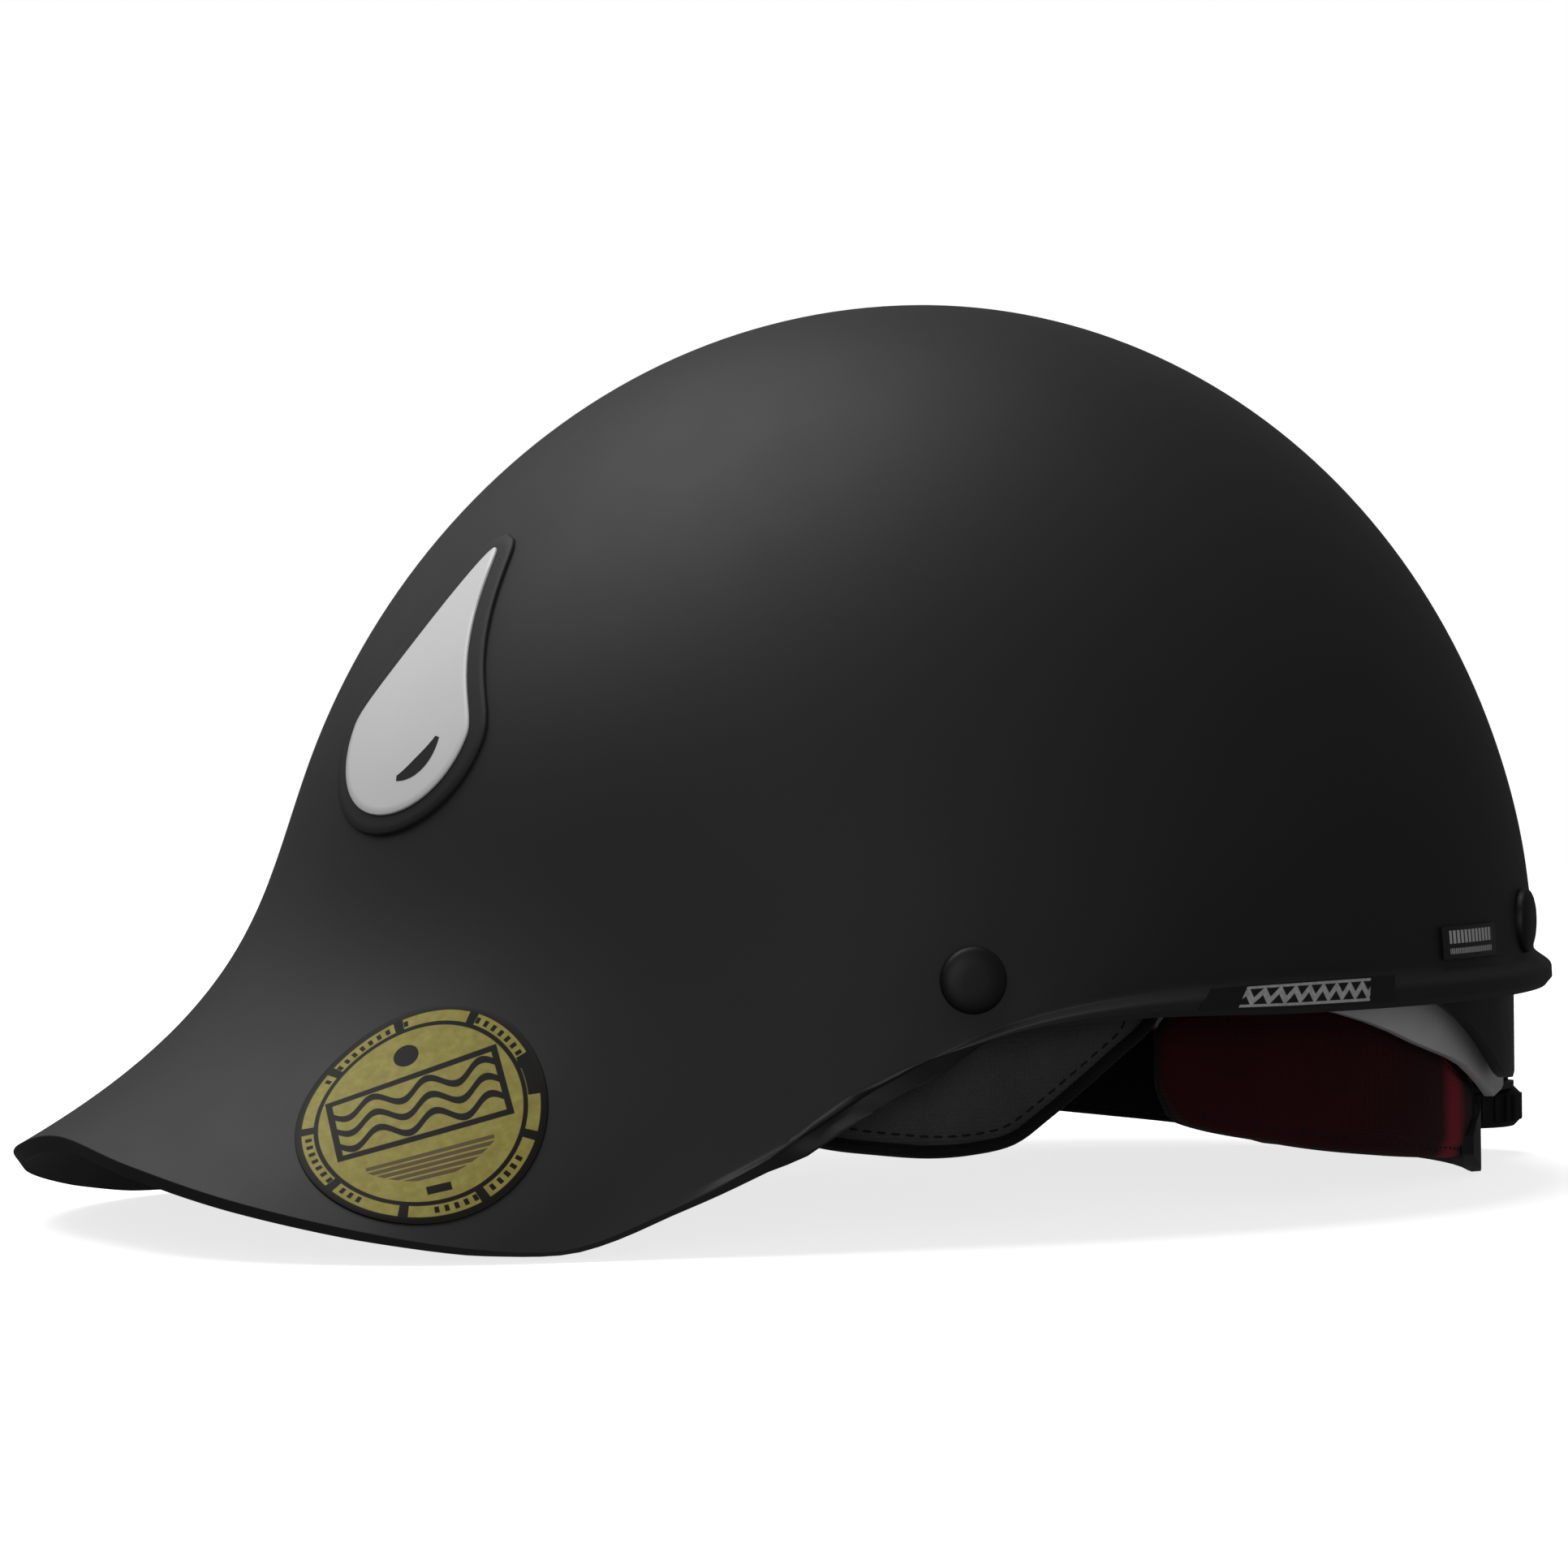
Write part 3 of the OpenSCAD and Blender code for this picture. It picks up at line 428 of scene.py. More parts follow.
def loft(rings, first=None, last=None, wrap=True):
    """Points and faces of a surface through rings of points, with an optional pole at each end."""
    rings = [np.asarray(r) for r in rings]
    n, m = len(rings[0]), len(rings)
    verts = np.concatenate(rings)
    faces = []
    for j in range(m - 1):
        for i in range(n if wrap else n - 1):
            a, b = j * n + i, j * n + (i + 1) % n
            faces.append((a, a + n, b + n, b))
    for pole, row in ((first, 0), (last, (m - 1) * n)):
        if pole is None:
            continue
        k = len(verts)
        verts = np.vstack([verts, pole])
        for i in range(n):
            a, b = row + i, row + (i + 1) % n
            faces.append((k, a, b) if row == 0 else (k, b, a))
    return verts, faces


# ---- shell ----
def outer_shell():
    n, top, low = 288, 48, 44
    u = np.arange(n) * 360 / n
    heights = LIP_H * np.array([1, 0.93, 0.86, 0.79, 0.72, 0.65, 0.58, 0.5, 0.42, 0.34, 0.26, 0.2, 0.14, 0.08, 0.03])
    start = from_edge(u, LIP_H)
    levels = [np.full(n, j / top) for j in range(1, top + 1)]
    levels += [1 + (start - 1) * j / (low + 1) for j in range(1, low + 1)]
    spare = len(levels)
    levels += [from_edge(u, h) for h in heights]
    out = [skin(u, v) for v in levels]
    for j, h in enumerate(heights):
        v = levels[spare + j]
        out[spare + j] = out[spare + j] + lip(u, h)[:, None] * level(skin_normal(u, v))
    inner = [skin(u, v) - SHELL_T * skin_normal(u, v) for v in levels]
    edge_v = from_edge(u, 0)
    normal = level(skin_normal(u, edge_v))
    edge = skin(u, edge_v)
    outer_edge = edge + normal * lip(u, 0)[:, None]
    inner_edge = edge - SHELL_T * skin_normal(u, edge_v)
    round_edge = [outer_edge * (1 - t) + inner_edge * t for t in (0.0, 0.12, 0.5, 0.88, 1.0)]
    rings = out + round_edge + inner[::-1]
    verts, faces = loft(rings, [0, 0, DOME_H], [0, 0, DOME_H - SHELL_T])
    return piece("helmet_shell", verts, faces, "outer_shell", ["outer_shell"])


# ---- flat artwork laid on the shell ----
class Patch:
    """A place on the skin with its own flat coordinates in mm: p to the side and q upwards, turned by a tilt."""

    def __init__(self, u, v, tilt=0.0):
        self.u, self.v, self.o = u, v, skin(u, v)
        du, dv = self.slopes(np.array(u), np.array(v))
        up = unit(-dv)
        side = unit(du - (du @ up) * up)
        c, s = math.cos(math.radians(tilt)), math.sin(math.radians(tilt))
        self.p, self.q = c * side + s * up, c * up - s * side

    @staticmethod
    def slopes(u, v):
        e, f = 0.5, 0.01
        return (skin(u + e, v) - skin(u - e, v)) / (2 * e), (skin(u, v + f) - skin(u, v - f)) / (2 * f)

    def point(self, p, q, height):
        """Points on the skin that lie over (p, q), raised by a height; found by four Newton steps."""
        p, q = np.broadcast_arrays(np.asarray(p, float), np.asarray(q, float))
        u, v = np.full(p.shape, float(self.u)), np.full(p.shape, float(self.v))
        for _ in range(4):
            miss = skin(u, v) - self.o
            fp, fq = miss @ self.p - p, miss @ self.q - q
            du, dv = self.slopes(u, v)
            a, b, c, d = du @ self.p, dv @ self.p, du @ self.q, dv @ self.q
            det = a * d - b * c
            u, v = u - (d * fp - b * fq) / det, v - (a * fq - c * fp) / det
        return skin(u, v) + np.asarray(height)[..., None] * skin_normal(u, v)


def film(name, patch, outline, height, node, base=-0.4, replaces=(), material=None, rings=10, edge=0.25):
    """A thin closed film on the skin: outline gives (p, q) points all round its middle, in mm."""
    outline = np.asarray(outline, float)
    mid = outline.mean(0)
    rows = [(k / rings, height) for k in range(1, rings)]
    size = np.abs(outline - mid).max()
    rows += [(1 - edge / size, height), (1 - edge * 0.3 / size, height - 0.3 * edge), (1, height - edge), (1, base)]
    rows += [(0.5, base)]
    loops, flat = [], []
    for f, h in rows:
        at = mid + (outline - mid) * f
        loops.append(patch.point(at[:, 0], at[:, 1], np.full(len(at), h)))
        flat.append(at)
    poles = [patch.point(mid[0], mid[1], np.array(h)) for h in (height, base)]
    verts, faces = loft(loops, poles[0], poles[1])
    obj = piece(name, verts, faces, node, replaces, material=material)
    outward(obj)
    flat = np.vstack(flat + [mid, mid])
    layer = obj.data.uv_layers.new(name="flat")
    for loop in obj.data.loops:
        layer.data[loop.index].uv = flat[loop.vertex_index] / 100 + 0.5
    sharpen(obj, 50)
    return obj


def outward(obj):
    """Turns every face of a closed mesh outwards."""
    bm = bmesh.new()
    bm.from_mesh(obj.data)
    bmesh.ops.recalc_face_normals(bm, faces=bm.faces)
    bm.to_mesh(obj.data)
    bm.free()


def sharpen(obj, angle):
    obj.data.set_sharp_from_angle(angle=math.radians(angle))


def drop_outline(size, grow=0.0, n=96):
    """A water drop: a round belly drawn out to a point above."""
    points = []
    for i in range(n):
        a = 2 * math.pi * i / n - math.pi / 2
        x, y = math.cos(a), math.sin(a)
        neck = max(y, 0.0)
        points.append((x * (1 - 0.66 * neck**1.5), y * (1 + 1.18 * neck**2.2)))
    points = np.array(points) * size
    if grow:
        step = np.roll(points, -1, 0) - np.roll(points, 1, 0)
        out = np.stack([step[:, 1], -step[:, 0]], -1)
        points = points + grow * unit(out)
    return points


def disc_outline(radius, n=96):
    a = np.arange(n) * 2 * math.pi / n
    return np.stack([radius * np.cos(a), radius * np.sin(a)], -1)


# Where each stands on the skin (direction, level), how far it is turned, and its size in mm
EMBLEM_AT, EMBLEM_TILT, EMBLEM_SIZE = (9.0, 0.95), 0.0, 17.0
STICKER_AT, STICKER_TILT = (32.9, 1.796), 58.0
STICKER_R = 22.7


def sticker_material():
    """Gold print with a black border, a ring of bars, three waves in a frame and a darker lens below."""
    n = Nodes("sticker_print", (0.42, 0.36, 0.09), 0.55, Specular_IOR_Level=0.2)
    p, q = flat_coordinates(n)
    r = n.maths("SQRT", n.maths("ADD", n.maths("MULTIPLY", p, p), n.maths("MULTIPLY", q, q)))
    a = n.maths("ARCTAN2", q, p)
    ring_r = 20.5
    rim = within(n, r, STICKER_R, 1.3)
    inner = within(n, r, 18.8, 0.42)
    bars = n.maths("GREATER_THAN", n.maths("SINE", n.maths("MULTIPLY", a, 9)), 0.93)
    spokes = both(n, bars, within(n, r, ring_r, 1.7))
    ticks = n.maths("GREATER_THAN", n.maths("SINE", n.maths("MULTIPLY", a, 72)), 0.1)
    gaps = n.maths("GREATER_THAN", n.maths("SINE", n.maths("MULTIPLY", a, 4)), -0.35)
    print_ring = both(n, ticks, gaps, within(n, r, 20.2, 0.6))
    beside = n.maths("LESS_THAN", n.maths("ABSOLUTE", n.maths("SUBTRACT", a, 0.05)), 0.2)
    solid = both(n, within(n, r, 20.7, 1.4), beside)
    crest = n.maths("MULTIPLY", n.maths("SINE", n.maths("MULTIPLY", p, 0.62)), 1.5)
    masks = [rim, inner, spokes, print_ring, solid]
    frame_in = both(n, within(n, p, 0, 15.2), within(n, q, 1.6, 6.4))
    for level_q, half in ((5.2, 0.75), (1.6, 0.75), (-2.0, 0.75)):
        wave = within(n, n.maths("SUBTRACT", q, crest), level_q, half)
        masks.append(both(n, wave, frame_in))
    side = both(n, within(n, n.maths("ABSOLUTE", p), 15.4, 0.6), within(n, q, 1.6, 6.6))
    rail = both(n, within(n, n.maths("ABSOLUTE", n.maths("SUBTRACT", q, 1.6)), 6.6, 0.6), within(n, p, 0, 16.0))
    masks += [side, rail]
    above = n.maths("SUBTRACT", q, 13.2)
    dot = n.maths("ADD", n.maths("MULTIPLY", p, p), n.maths("MULTIPLY", above, above))
    masks.append(n.maths("LESS_THAN", dot, 5.5))
    foot = both(n, within(n, p, 0, 2.2), within(n, q, -16.2, 0.8))
    masks.append(foot)
    lens_q = n.maths("ADD", n.maths("MULTIPLY", n.maths("MULTIPLY", p, p), 0.035), -14.2)
    lens = both(n, within(n, p, 0, 11.5), n.maths("GREATER_THAN", q, lens_q), n.maths("LESS_THAN", q, -8.4))
    stripes = n.maths("GREATER_THAN", n.maths("SINE", n.maths("MULTIPLY", q, 5.5)), -0.55)
    where = n.place()
    speck = n.noise(where, 0.6, 4)
    gold = n.ramp(speck, [(0.3, (0.3, 0.255, 0.055)), (0.7, (0.4, 0.345, 0.09))])
    gold = mix(n, both(n, lens, stripes), gold.outputs[0], (0.13, 0.095, 0.04))
    colour = mix(n, either(n, *masks), gold.outputs[0], (0.004, 0.003, 0.002))
    return n.done(colour.outputs[0], None, n.bump(n.noise(where, 2.5, 2), 0.004 / 1000, 0.4))


def front_emblem():
    place = Patch(EMBLEM_AT[0], EMBLEM_AT[1], EMBLEM_TILT)
    film("emblem_plinth", place, drop_outline(EMBLEM_SIZE, 3.6), 0.75, "outer_shell", edge=0.55, rings=14)
    film("emblem_drop", place, drop_outline(EMBLEM_SIZE), 1.15, "front_emblem", 0.3, ["front_emblem"], rings=14)
    arc = []
    for k in range(25):
        a = math.radians(-72 + 64 * k / 24)
        arc.append((a, 0.62 * EMBLEM_SIZE))
    thick = [1.0 + 2.1 * math.sin(math.pi * k / 24) for k in range(25)]
    ring = [((r + t / 2) * math.cos(a), (r + t / 2) * math.sin(a)) for (a, r), t in zip(arc, thick)]
    ring += [((r - t / 2) * math.cos(a), (r - t / 2) * math.sin(a)) for (a, r), t in zip(arc[::-1], thick[::-1])]
    crescent("emblem_glint", place, ring, 1.22)


def crescent(name, place, outline, height):
    """A dark crescent let into the drop, as a strip between its outer and inner arcs."""
    outline = np.array(outline)
    k = len(outline) // 2
    rows = []
    for i in range(k):
        o, q = outline[i], outline[2 * k - 1 - i]
        rows.append([place.point(x[0], x[1], np.array(h)) for x, h in ((o, height), (q, height), (q, 0.9), (o, 0.9))])
    rows = np.array(rows)
    faces = []
    for i in range(k - 1):
        for j in range(4):
            a, b = i * 4 + j, i * 4 + (j + 1) % 4
            faces.append((a, b, b + 4, a + 4))
    faces += [(3, 2, 1, 0), tuple(4 * (k - 1) + j for j in range(4))]
    obj = piece(name, rows.reshape(-1, 3), faces, "outer_shell")
    outward(obj)
    sharpen(obj, 40)


def round_sticker():
    place = Patch(STICKER_AT[0], STICKER_AT[1], STICKER_TILT)
    film("sticker_disc", place, disc_outline(STICKER_R), 0.3, "round_sticker", -0.3, ["round_sticker"],
         sticker_material(), rings=16, edge=0.12)



def label(name, node, u0, u1, d0, d1, out, material):
    """A thin label between two directions and two heights above the edge, with flat coordinates in mm / 100."""
    n, m = 40, 6
    u = np.linspace(u0, u1, n)
    run = np.linspace(0, 1, n) * np.linalg.norm(skin(u1, from_edge(u1, d0)) - skin(u0, from_edge(u0, d0)))
    rows = []
    for j in range(m + 1):
        d = d0 + (d1 - d0) * j / m
        rows.append((skin(u, from_edge(u, d)), d - (d0 + d1) / 2))
    normal = level(skin_normal(u, 1.9))
    front = [at + (out + 0.35) * normal for at, _ in rows]
    back = [at + out * normal for at, _ in rows]
    rings = np.array(front + back[::-1]).transpose(1, 0, 2)
    heights = [q for _, q in rows]
    heights = heights + heights[::-1]
    verts, faces = loft(rings)
    faces = faces + [tuple(range(2 * m + 2)), tuple((n - 1) * (2 * m + 2) + j for j in range(2 * m + 1, -1, -1))]
    obj = piece(name, verts, faces, node, [node], material=material)
    outward(obj)
    layer = obj.data.uv_layers.new(name="flat")
    for loop in obj.data.loops:
        i, j = divmod(loop.vertex_index, 2 * m + 2)
        layer.data[loop.index].uv = ((run[i] - run[-1] / 2) / 100 + 0.5, heights[j] / 100 + 0.5)
    sharpen(obj, 40)


def zigzag_material():
    """A dark strip with a broad grey zigzag between two fine lines."""
    n = Nodes("rim_strip_print", grey(0.004), 0.4)
    p, q = flat_coordinates(n)
    wave = n.maths("MULTIPLY", n.maths("SUBTRACT", n.maths("PINGPONG", n.maths("ADD", p, 40), 1.7), 0.85), 1.25)
    line = within(n, n.maths("SUBTRACT", q, wave), 0, 0.85)
    inside = both(n, line, within(n, p, 0, 15), within(n, q, 0, 1.75))
    rails = both(n, within(n, n.maths("ABSOLUTE", q), 1.85, 0.26), within(n, p, 0, 15))
    speck = n.noise(n.place(), 1.2, 3)
    pale = n.ramp(speck, [(0.3, grey(0.4)), (0.7, grey(0.6))])
    return n.done(mix(n, either(n, inside, rails), grey(0.004), pale.outputs[0]).outputs[0])


def bars_material():
    """A dark tag with a row of tall pale bars over a row of short ones."""
    n = Nodes("tag_print", grey(0.004), 0.4)
    p, q = flat_coordinates(n)
    tall = n.maths("GREATER_THAN", n.maths("SINE", n.maths("MULTIPLY", p, 4.4)), -0.55)
    short = n.maths("GREATER_THAN", n.maths("SINE", n.maths("MULTIPLY", p, 9.5)), -0.2)
    masks = [both(n, tall, within(n, q, 1.1, 1.3), within(n, p, 0, 8.5)),
             both(n, short, within(n, q, -1.7, 0.55), within(n, p, 0, 8.5))]
    return n.done(mix(n, either(n, *masks), grey(0.004), grey(0.6)).outputs[0])


def labels():
    label("rim_strip", "rim_label", 96, 110.8, 1.4, 6.2, LIP_OUT + 0.1, zigzag_material())
    label("rear_tag", "rear_label", 118.5, 129.5, 8, 14.5, 0.38, bars_material())


# ---- soft pieces ----
def copied(node, name):
    """A CAD node's solid as a new piece, with its doubled points merged."""
    mesh = frame["nodes"][node].data.copy()
    mesh.name = name
    obj = bpy.data.objects.new(name, mesh)
    bpy.context.collection.objects.link(obj)
    bm = bmesh.new()
    bm.from_mesh(mesh)
    bmesh.ops.remove_doubles(bm, verts=bm.verts, dist=1e-6)
    bmesh.ops.dissolve_limit(bm, angle_limit=math.radians(0.5), verts=bm.verts, edges=bm.edges)
    bm.to_mesh(mesh)
    bm.free()
    for name in [layer.name for layer in mesh.uv_layers]:
        mesh.uv_layers.remove(mesh.uv_layers[name])
    if mesh.has_custom_normals:
        with bpy.context.temp_override(object=obj, active_object=obj):
            bpy.ops.mesh.customdata_custom_splitnormals_clear()
    return obj


def applied(obj):
    """Fixes all of a piece's modifiers into its mesh."""
    graph = bpy.context.evaluated_depsgraph_get()
    mesh = bpy.data.meshes.new_from_object(obj.evaluated_get(graph))
    obj.modifiers.clear()
    old, obj.data = obj.data, mesh
    bpy.data.meshes.remove(old)


def points_of(obj):
    co = np.zeros(len(obj.data.vertices) * 3)
    obj.data.vertices.foreach_get("co", co)
    return co.reshape(-1, 3)


def set_points(obj, co):
    obj.data.vertices.foreach_set("co", np.asarray(co, np.float32).ravel())
    obj.data.update()


def normals_of(obj):
    n = np.zeros(len(obj.data.vertices) * 3)
    obj.data.vertices.foreach_get("normal", n)
    return n.reshape(-1, 3)


def inflated(node, name, voxel=2.2, shrink=1.0, cap=1.6, seams=None, pressure=4.0):
    """A padded piece: the CAD solid remeshed, drawn in, blown up by a cloth simulation within a cap, and seamed."""
    obj = copied(node, name)
    remesh = obj.modifiers.new("remesh", "REMESH")
    remesh.mode, remesh.voxel_size = "VOXEL", voxel / 1000
    applied(obj)
    obj.data.update()
    rest = points_of(obj) - normals_of(obj) * shrink / 1000
    set_points(obj, rest)
    cloth = obj.modifiers.new("cloth", "CLOTH")
    cloth.settings.use_pressure = True
    cloth.settings.uniform_pressure_force = pressure
    cloth.settings.effector_weights.gravity = 0
    cloth.settings.quality = 5
    for f in range(1, 21):
        bpy.context.scene.frame_set(f)
    applied(obj)
    bpy.context.scene.frame_set(1)
    move = points_of(obj) - rest
    size = np.linalg.norm(move, axis=1, keepdims=True)
    set_points(obj, rest + move * np.minimum(1, cap / 1000 / np.maximum(size, 1e-9)))
    for name, kind in (("soften", "SMOOTH"), ("round", "SUBSURF")):
        m = obj.modifiers.new(name, kind)
        if kind == "SMOOTH":
            m.factor, m.iterations = 0.5, 4
        else:
            m.levels = m.render_levels = 1
    applied(obj)
    if seams:
        co = points_of(obj)
        set_points(obj, co - normals_of(obj) * seams(co * 1000 - MIDDLE)[:, None] / 1000)
    settle(obj, node, [node])
    return obj


def groove(distance, width, depth):
    """Depth of a sewn channel at a distance from its line."""
    return depth * np.exp(-((distance / width) ** 2))


def direction(co):
    return np.degrees(np.arctan2(co[:, 0], -co[:, 1])) % 360


def tube(name, path, radius, node, closed=False, sides=10, flat=1.0, axis=None, material=None):
    """A round or flattened tube swept along points; flat stretches it along an axis."""
    path = np.asarray(path, float)
    n = len(path)
    rows = []
    for i in range(n):
        before, after = (path[i - 1], path[(i + 1) % n]) if closed else (path[max(i - 1, 0)], path[min(i + 1, n - 1)])
        t = unit(after - before)
        a = np.asarray(axis(path[i]) if callable(axis) else (axis if axis is not None else (0, 0, 1)), float)
        a = unit(a - (a @ t) * t)
        b = np.cross(t, a)
        angles = np.arange(sides) * 2 * math.pi / sides
        rows.append(path[i] + radius * (flat * np.cos(angles)[:, None] * a + np.sin(angles)[:, None] * b))
    if closed:
        verts = np.concatenate(rows)
        faces = []
        for i in range(n):
            for j in range(sides):
                k = (i + 1) % n
                faces.append((i * sides + j, i * sides + (j + 1) % sides, k * sides + (j + 1) % sides, k * sides + j))
    else:
        verts, faces = loft(rows, path[0], path[-1])
    obj = piece(name, verts, faces, node, material=material)
    outward(obj)
    return obj


def refined(node, name, width=0.3, angle=35, segments=2, material=None):
    """A hard CAD piece with rounded edges."""
    obj = copied(node, name)
    bevel = obj.modifiers.new("bevel", "BEVEL")
    bevel.width, bevel.segments, bevel.limit_method = width / 1000, segments, "ANGLE"
    bevel.angle_limit = math.radians(angle)
    applied(obj)
    settle(obj, node, [node], material=material)
    sharpen(obj, 42)
    return obj


# ---- ear pads ----
# Seen from the side: [y, z] round the pad's lower part, and how far out it stands
EAR_LINE = [[-73, 0.5], [-73.5, -10], [-72.5, -18], [-66, -20.6], [-57, -22], [-48, -22.9], [-40, -22.6], [-33, -21.2],
            [-26.5, -17], [-19.8, -12.2], [-13.1, -7.2], [-6, -1.8], [-5.5, 2.5], [-11, 6.5]]
EAR_R, EAR_X, EAR_Y, EAR_T = 200.0, 95.5, -5.0, 8.0


def ear_x(y, depth):
    """The ear pad's curved sheet: x at a place along the length, some way in from its outer face."""
    r = EAR_R - depth
    return EAR_X - EAR_R + np.sqrt(r * r - (y - EAR_Y) ** 2)


def rounded_line(points, closed=True, steps=6):
    """A smooth line through points, as a Catmull-Rom curve."""
    p = np.asarray(points, float)
    n = len(p)
    out = []
    for i in range(n if closed else n - 1):
        q = [p[(i + k) % n] if closed else p[min(max(i + k, 0), n - 1)] for k in (-1, 0, 1, 2)]
        for t in np.arange(steps) / steps:
            out.append(0.5 * (2 * q[1] + (q[2] - q[0]) * t + (2 * q[0] - 5 * q[1] + 4 * q[2] - q[3]) * t * t
                              + (3 * q[1] - q[0] - 3 * q[2] + q[3]) * t**3))
    if not closed:
        out.append(p[-1])
    return np.array(out)


def ear_pad(side, node, name):
    """A crowned panel with a bound edge; side is 1 on the left and -1 on the right."""
    across = np.array([side, 1, 1])
    line = rounded_line(EAR_LINE + [[-40, 7.5], [-66, 7.5]], steps=5)
    mid = np.array([-42.0, -7.5])
    rings, steps = [], [0.12, 0.3, 0.5, 0.68, 0.82, 0.9, 0.95, 0.985]
    crown = lambda f: 3.2 * (1 - f**3.2) ** 0.7
    half = EAR_T / 2
    for f, s in [(f, 1) for f in steps] + [(1.0, 0)] + [(f, -1) for f in steps[::-1]]:
        at = mid + (line - mid) * f
        wave = 0.18 * np.sin(at[:, 0] * 0.5 + at[:, 1] * 0.23) * (1 - f)
        out = s * (0.55 + crown(f) + wave)
        rings.append(np.stack([ear_x(at[:, 0], half) + out, at[:, 0], at[:, 1]], -1) * across)
    poles = [np.array([ear_x(mid[0], half) + s * 3.75, *mid]) * across for s in (1, -1)]
    verts, faces = loft(rings, *poles)
    obj = piece(name, verts, faces, node, [node])
    outward(obj)
    edge = np.stack([ear_x(line[:, 0], half), line[:, 0], line[:, 1]], -1) * across
    tube(name + "_binding", edge, 1.35, node, closed=True, sides=14, flat=2.4, axis=(1, 0, 0),
         material=MATERIALS["binding"])
    inset = mid + (line - mid) * 0.83
    for s in (1, -1):
        seam = np.stack([ear_x(inset[:, 0], half) + s * (0.6 + crown(0.83)), inset[:, 0], inset[:, 1]], -1) * across
        stitches(f"{name}_stitches_{'out' if s > 0 else 'in'}", seam, node, 2.6, 1.7, 0.22)


def stitches(name, line, node, pitch, length, radius, closed=True):
    """A row of short threads along a line, as one piece."""
    line = np.vstack([line, line[:1]]) if closed else np.asarray(line)
    run = np.concatenate([[0], np.cumsum(np.linalg.norm(np.diff(line, axis=0), axis=1))])
    at = lambda d: np.array([np.interp(d, run, line[:, k]) for k in range(3)]).T
    verts, faces = [], []
    for k in range(int(run[-1] / pitch)):
        a, b = at(k * pitch), at(k * pitch + length)
        t = unit(b - a)
        n1 = unit(np.cross(t, [0.31, 0.2, 0.93]))
        n2 = np.cross(t, n1)
        base = len(verts)
        for f, r in ((0, 0.35), (0.2, 1), (0.8, 1), (1, 0.35)):
            for j in range(6):
                c = 2 * math.pi * j / 6
                verts.append(a + (b - a) * f + radius * r * (math.cos(c) * n1 + math.sin(c) * n2))
        for i in range(3):
            for j in range(6):
                q, w = base + i * 6 + j, base + i * 6 + (j + 1) % 6
                faces.append((q, w, w + 6, q + 6))
        faces += [tuple(base + j for j in range(5, -1, -1)), tuple(base + 18 + j for j in range(6))]
    obj = piece(name, np.array(verts), faces, node, material=MATERIALS["thread"])
    outward(obj)
    return obj


# ---- neck pad ----
# Lower and upper edge by direction, as on the CAD pad
NECK_EDGES = [[91, -14, -4], [92, -18, -2], [94.5, -21.7, -1.2], [105, -26, -1.2], [114, -28.8, -3], [126, -31.4, -8],
              [134, -32.8, -12], [142, -34, -17], [150, -35.2, -19], [160, -36.6, -19], [172, -37.8, -19],
              [180, -38, -19], [188, -37.8, -19]]

def neck_point(u, s, depth):
    """Point of the neck pad: s from -1 at its lower edge to 1 at its upper one, some way in from its outer face."""
    z = cubic(NECK_EDGES, np.where(u <= 180, u, 360 - u))
    r = np.radians(u)
    height = z[..., 0] + (z[..., 1] - z[..., 0]) * (s + 1) / 2
    return np.stack([(NECK_B - depth) * np.sin(r), -(NECK_A - depth) * np.cos(r), height], -1)


def neck_pad():
    n, m = 220, 44
    u = np.concatenate([[91.5, 91.9, 92.6], np.linspace(93.5, 266.5, n), [267.4, 268.1, 268.5]])
    rings = []
    for j in range(m):
        a = 2 * math.pi * j / m
        c, s = math.cos(a), math.sin(a)
        square = lambda x, k: math.copysign(abs(x) ** k, x)
        across, up = square(c, 0.42), square(s, 0.3)
        crown = 0.7 * (1 - abs(up) ** 2.5) * c
        seam = groove(abs(up) - NECK_SEAM, 0.045, 0.75) * abs(c)
        bumps = 0.22 * np.sin(np.radians(u) * 23 + 2.0 * up) * (1 - abs(up)) * c
        ends = np.minimum(1, np.minimum(u - 91.5, 268.5 - u) / 2.2)
        half = NECK_T / 2 * (0.3 + 0.7 * np.sqrt(np.clip(ends, 0, 1)))
        depth = NECK_T / 2 - across * half - crown * ends - bumps * ends + seam * math.copysign(1, c) * ends
        rings.append(neck_point(u, up * np.ones_like(u) * (0.55 + 0.45 * np.sqrt(np.clip(ends, 0, 1))), depth))
    grid = np.array(rings)
    verts = grid.transpose(1, 0, 2).reshape(-1, 3)
    k = len(u)
    faces = []
    for i in range(k - 1):
        for j in range(m):
            a, b = i * m + j, i * m + (j + 1) % m
            faces.append((a, b, b + m, a + m))
    faces += [tuple(range(m)), tuple((k - 1) * m + j for j in range(m - 1, -1, -1))]
    obj = piece("neck_pad_cover", verts, faces, "neck_pad", ["neck_pad"])
    outward(obj)
    along_u = np.linspace(95, 265, 260)
    for e, edge in ((-NECK_SEAM, "lower"), (NECK_SEAM, "upper")):
        for depth, face in ((0.42, "out"), (NECK_T - 0.42, "in")):
            line = neck_point(along_u, np.full_like(along_u, e), np.full_like(along_u, depth))
            stitches(f"neck_stitches_{edge}_{face}", line, "neck_pad", 3.0, 2.0, 0.24, closed=False)


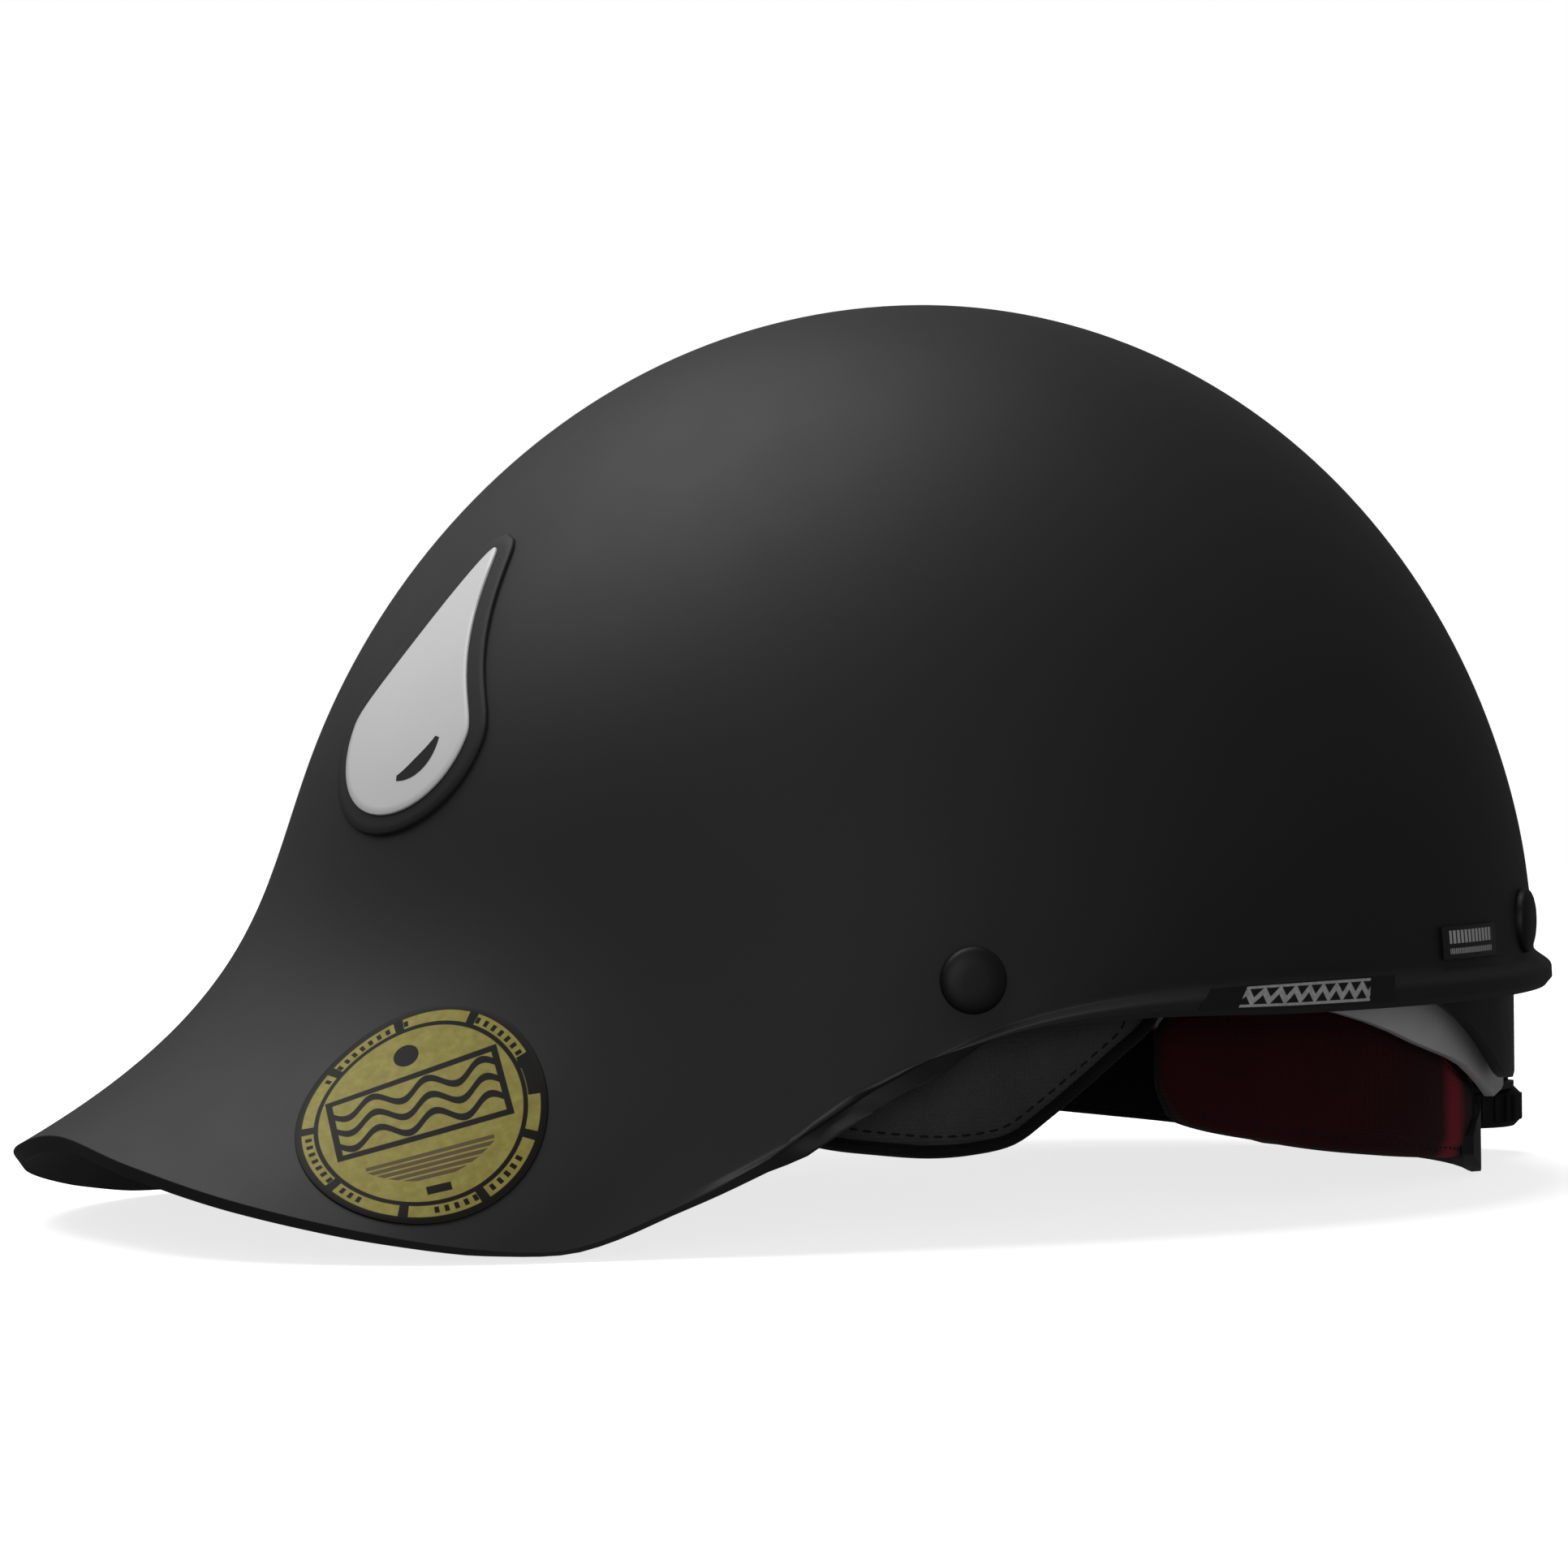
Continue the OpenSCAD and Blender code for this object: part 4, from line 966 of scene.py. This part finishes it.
# ---- comfort pads ----
def comfort_pads():
    def rows(co):
        u = direction(co)
        u = np.where(u > 180, u - 360, u)
        return sum(groove(u - at, 0.55, 1.1) for at in (-34, -17, 0, 17, 34))

    def rear_rows(co):
        return sum(groove(direction(co) - at, 0.6, 1.0) for at in (163, 180, 197))

    def rings(co):
        r = np.hypot(co[:, 0], co[:, 1])
        a = np.arctan2(co[:, 0], co[:, 1])
        spokes = sum(groove((a - k * math.pi / 3 + math.pi / 2) % math.pi - math.pi / 2, 0.05, 0.8) for k in range(3))
        return groove(r - 17, 0.9, 1.1) + spokes * (r > 17)

    inflated("brow_pad", "brow_cushion", seams=rows)
    inflated("rear_pad", "rear_cushion", seams=rear_rows)
    inflated("crown_pad", "crown_cushion", seams=rings)
    for side in ("left", "right"):
        inflated(f"side_pad_{side}", f"side_cushion_{side}", seams=lambda co: groove(co[:, 2] - 31, 0.8, 1.0))


# ---- camera ----
CAMERA_BACK = Vector((0.88235, -0.46850, 0.04425))
CAMERA_UP = Vector((-0.03235, 0.03342, 0.99892))
CAMERA_TARGET = metres([0, -29.379, 38.482])
CAMERA_DISTANCE, CAMERA_LENS = 1.5, 184.46


def camera():
    data = bpy.data.cameras.new("camera")
    data.lens, data.sensor_width = CAMERA_LENS, 36
    data.clip_start, data.clip_end = 0.05, 50
    cam = bpy.data.objects.new("camera", data)
    bpy.context.collection.objects.link(cam)
    z = CAMERA_BACK.normalized()
    x = CAMERA_UP.cross(z).normalized()
    y = z.cross(x)
    turn = Matrix((x, y, z)).transposed().to_4x4()
    cam.matrix_world = Matrix.Translation(Vector(CAMERA_TARGET) + z * CAMERA_DISTANCE) @ turn
    bpy.context.scene.camera = cam


# ---- backdrop and lights ----
def white(name, base, strength):
    """A white that glows, so that it stays bright beside a black object."""
    n = Nodes(name, grey(base), 1.0, Specular_IOR_Level=0.0)
    n.bsdf.inputs["Emission Color"].default_value = (1, 1, 1, 1)
    n.bsdf.inputs["Emission Strength"].default_value = strength
    return n.material


def staged(name, bm, material):
    mesh = bpy.data.meshes.new(name)
    bm.to_mesh(mesh)
    bm.free()
    obj = bpy.data.objects.new(name, mesh)
    obj.data.materials.append(material)
    obj.visible_diffuse = obj.visible_glossy = obj.visible_transmission = obj.visible_shadow = False
    bpy.context.collection.objects.link(obj)


def backdrop():
    """A pale floor that takes a faint shadow, and a white wall all round; neither lights the object."""
    bm = bmesh.new()
    bmesh.ops.create_circle(bm, cap_ends=True, segments=96, radius=1.1)
    staged("floor", bm, white("floor", 0.75, 0.78))
    bm = bmesh.new()
    bmesh.ops.create_uvsphere(bm, u_segments=48, v_segments=24, radius=6)
    staged("wall", bm, white("wall", 0.0, 1.0))


def area(name, where, size, power, at=(0, 0, 0.08)):
    data = bpy.data.lights.new(name, "AREA")
    data.shape, data.size, data.energy = "DISK", size, power
    obj = bpy.data.objects.new(name, data)
    obj.location = where
    obj.rotation_mode = "QUATERNION"
    obj.rotation_quaternion = (Vector(where) - Vector(at)).to_track_quat("Z", "Y")
    bpy.context.collection.objects.link(obj)


def lights():
    bpy.context.scene.view_settings.view_transform = "Standard"
    world = bpy.data.worlds.new("studio")
    world.use_nodes = True
    sky = world.node_tree.nodes["Background"]
    sky.inputs["Color"].default_value = (1, 1, 1, 1)
    sky.inputs["Strength"].default_value = 0.1
    bpy.context.scene.world = world
    area("key", (-1.25, -0.45, 1.15), 1.8, 4)
    area("top", (-0.35, -0.4, 1.8), 1.8, 27)
    area("fill", (1.5, -0.7, 0.3), 1.2, 5.5)


camera()
outer_shell()
front_emblem()
round_sticker()
labels()
ear_pad(1, "ear_pad_left", "ear_cushion_left")
ear_pad(-1, "ear_pad_right", "ear_cushion_right")
neck_pad()
comfort_pads()
for node in ("rear_hanger", "cradle_plate", "adjuster_base", "adjuster_cover", "buckle_socket", "buckle_plug",
             "strap_slider", "arm_bracket_left", "arm_bracket_right"):
    refined(node, node + "_moulding")
for node in ("side_rivets", "rear_rivets", "side_washers", "rear_washers", "arm_pins", "adjuster_screws", "wheel_clip"):
    refined(node, node + "_metalwork", 0.15)
for side in ("left", "right"):
    refined("arm_" + side, f"arm_{side}_blade", 0.4)
    refined("chin_strap_" + side, f"chin_strap_{side}_webbing", 0.3)
refined("thumbwheel", "thumbwheel_grip", 0.25)
refined("strap_keeper", "strap_keeper_loop", 0.3)
for node, slot_name in SLOT.items():
    obj = frame["nodes"][node]
    obj.data.materials.clear()
    obj.data.materials.append(MATERIALS[slot_name])
backdrop()
lights()
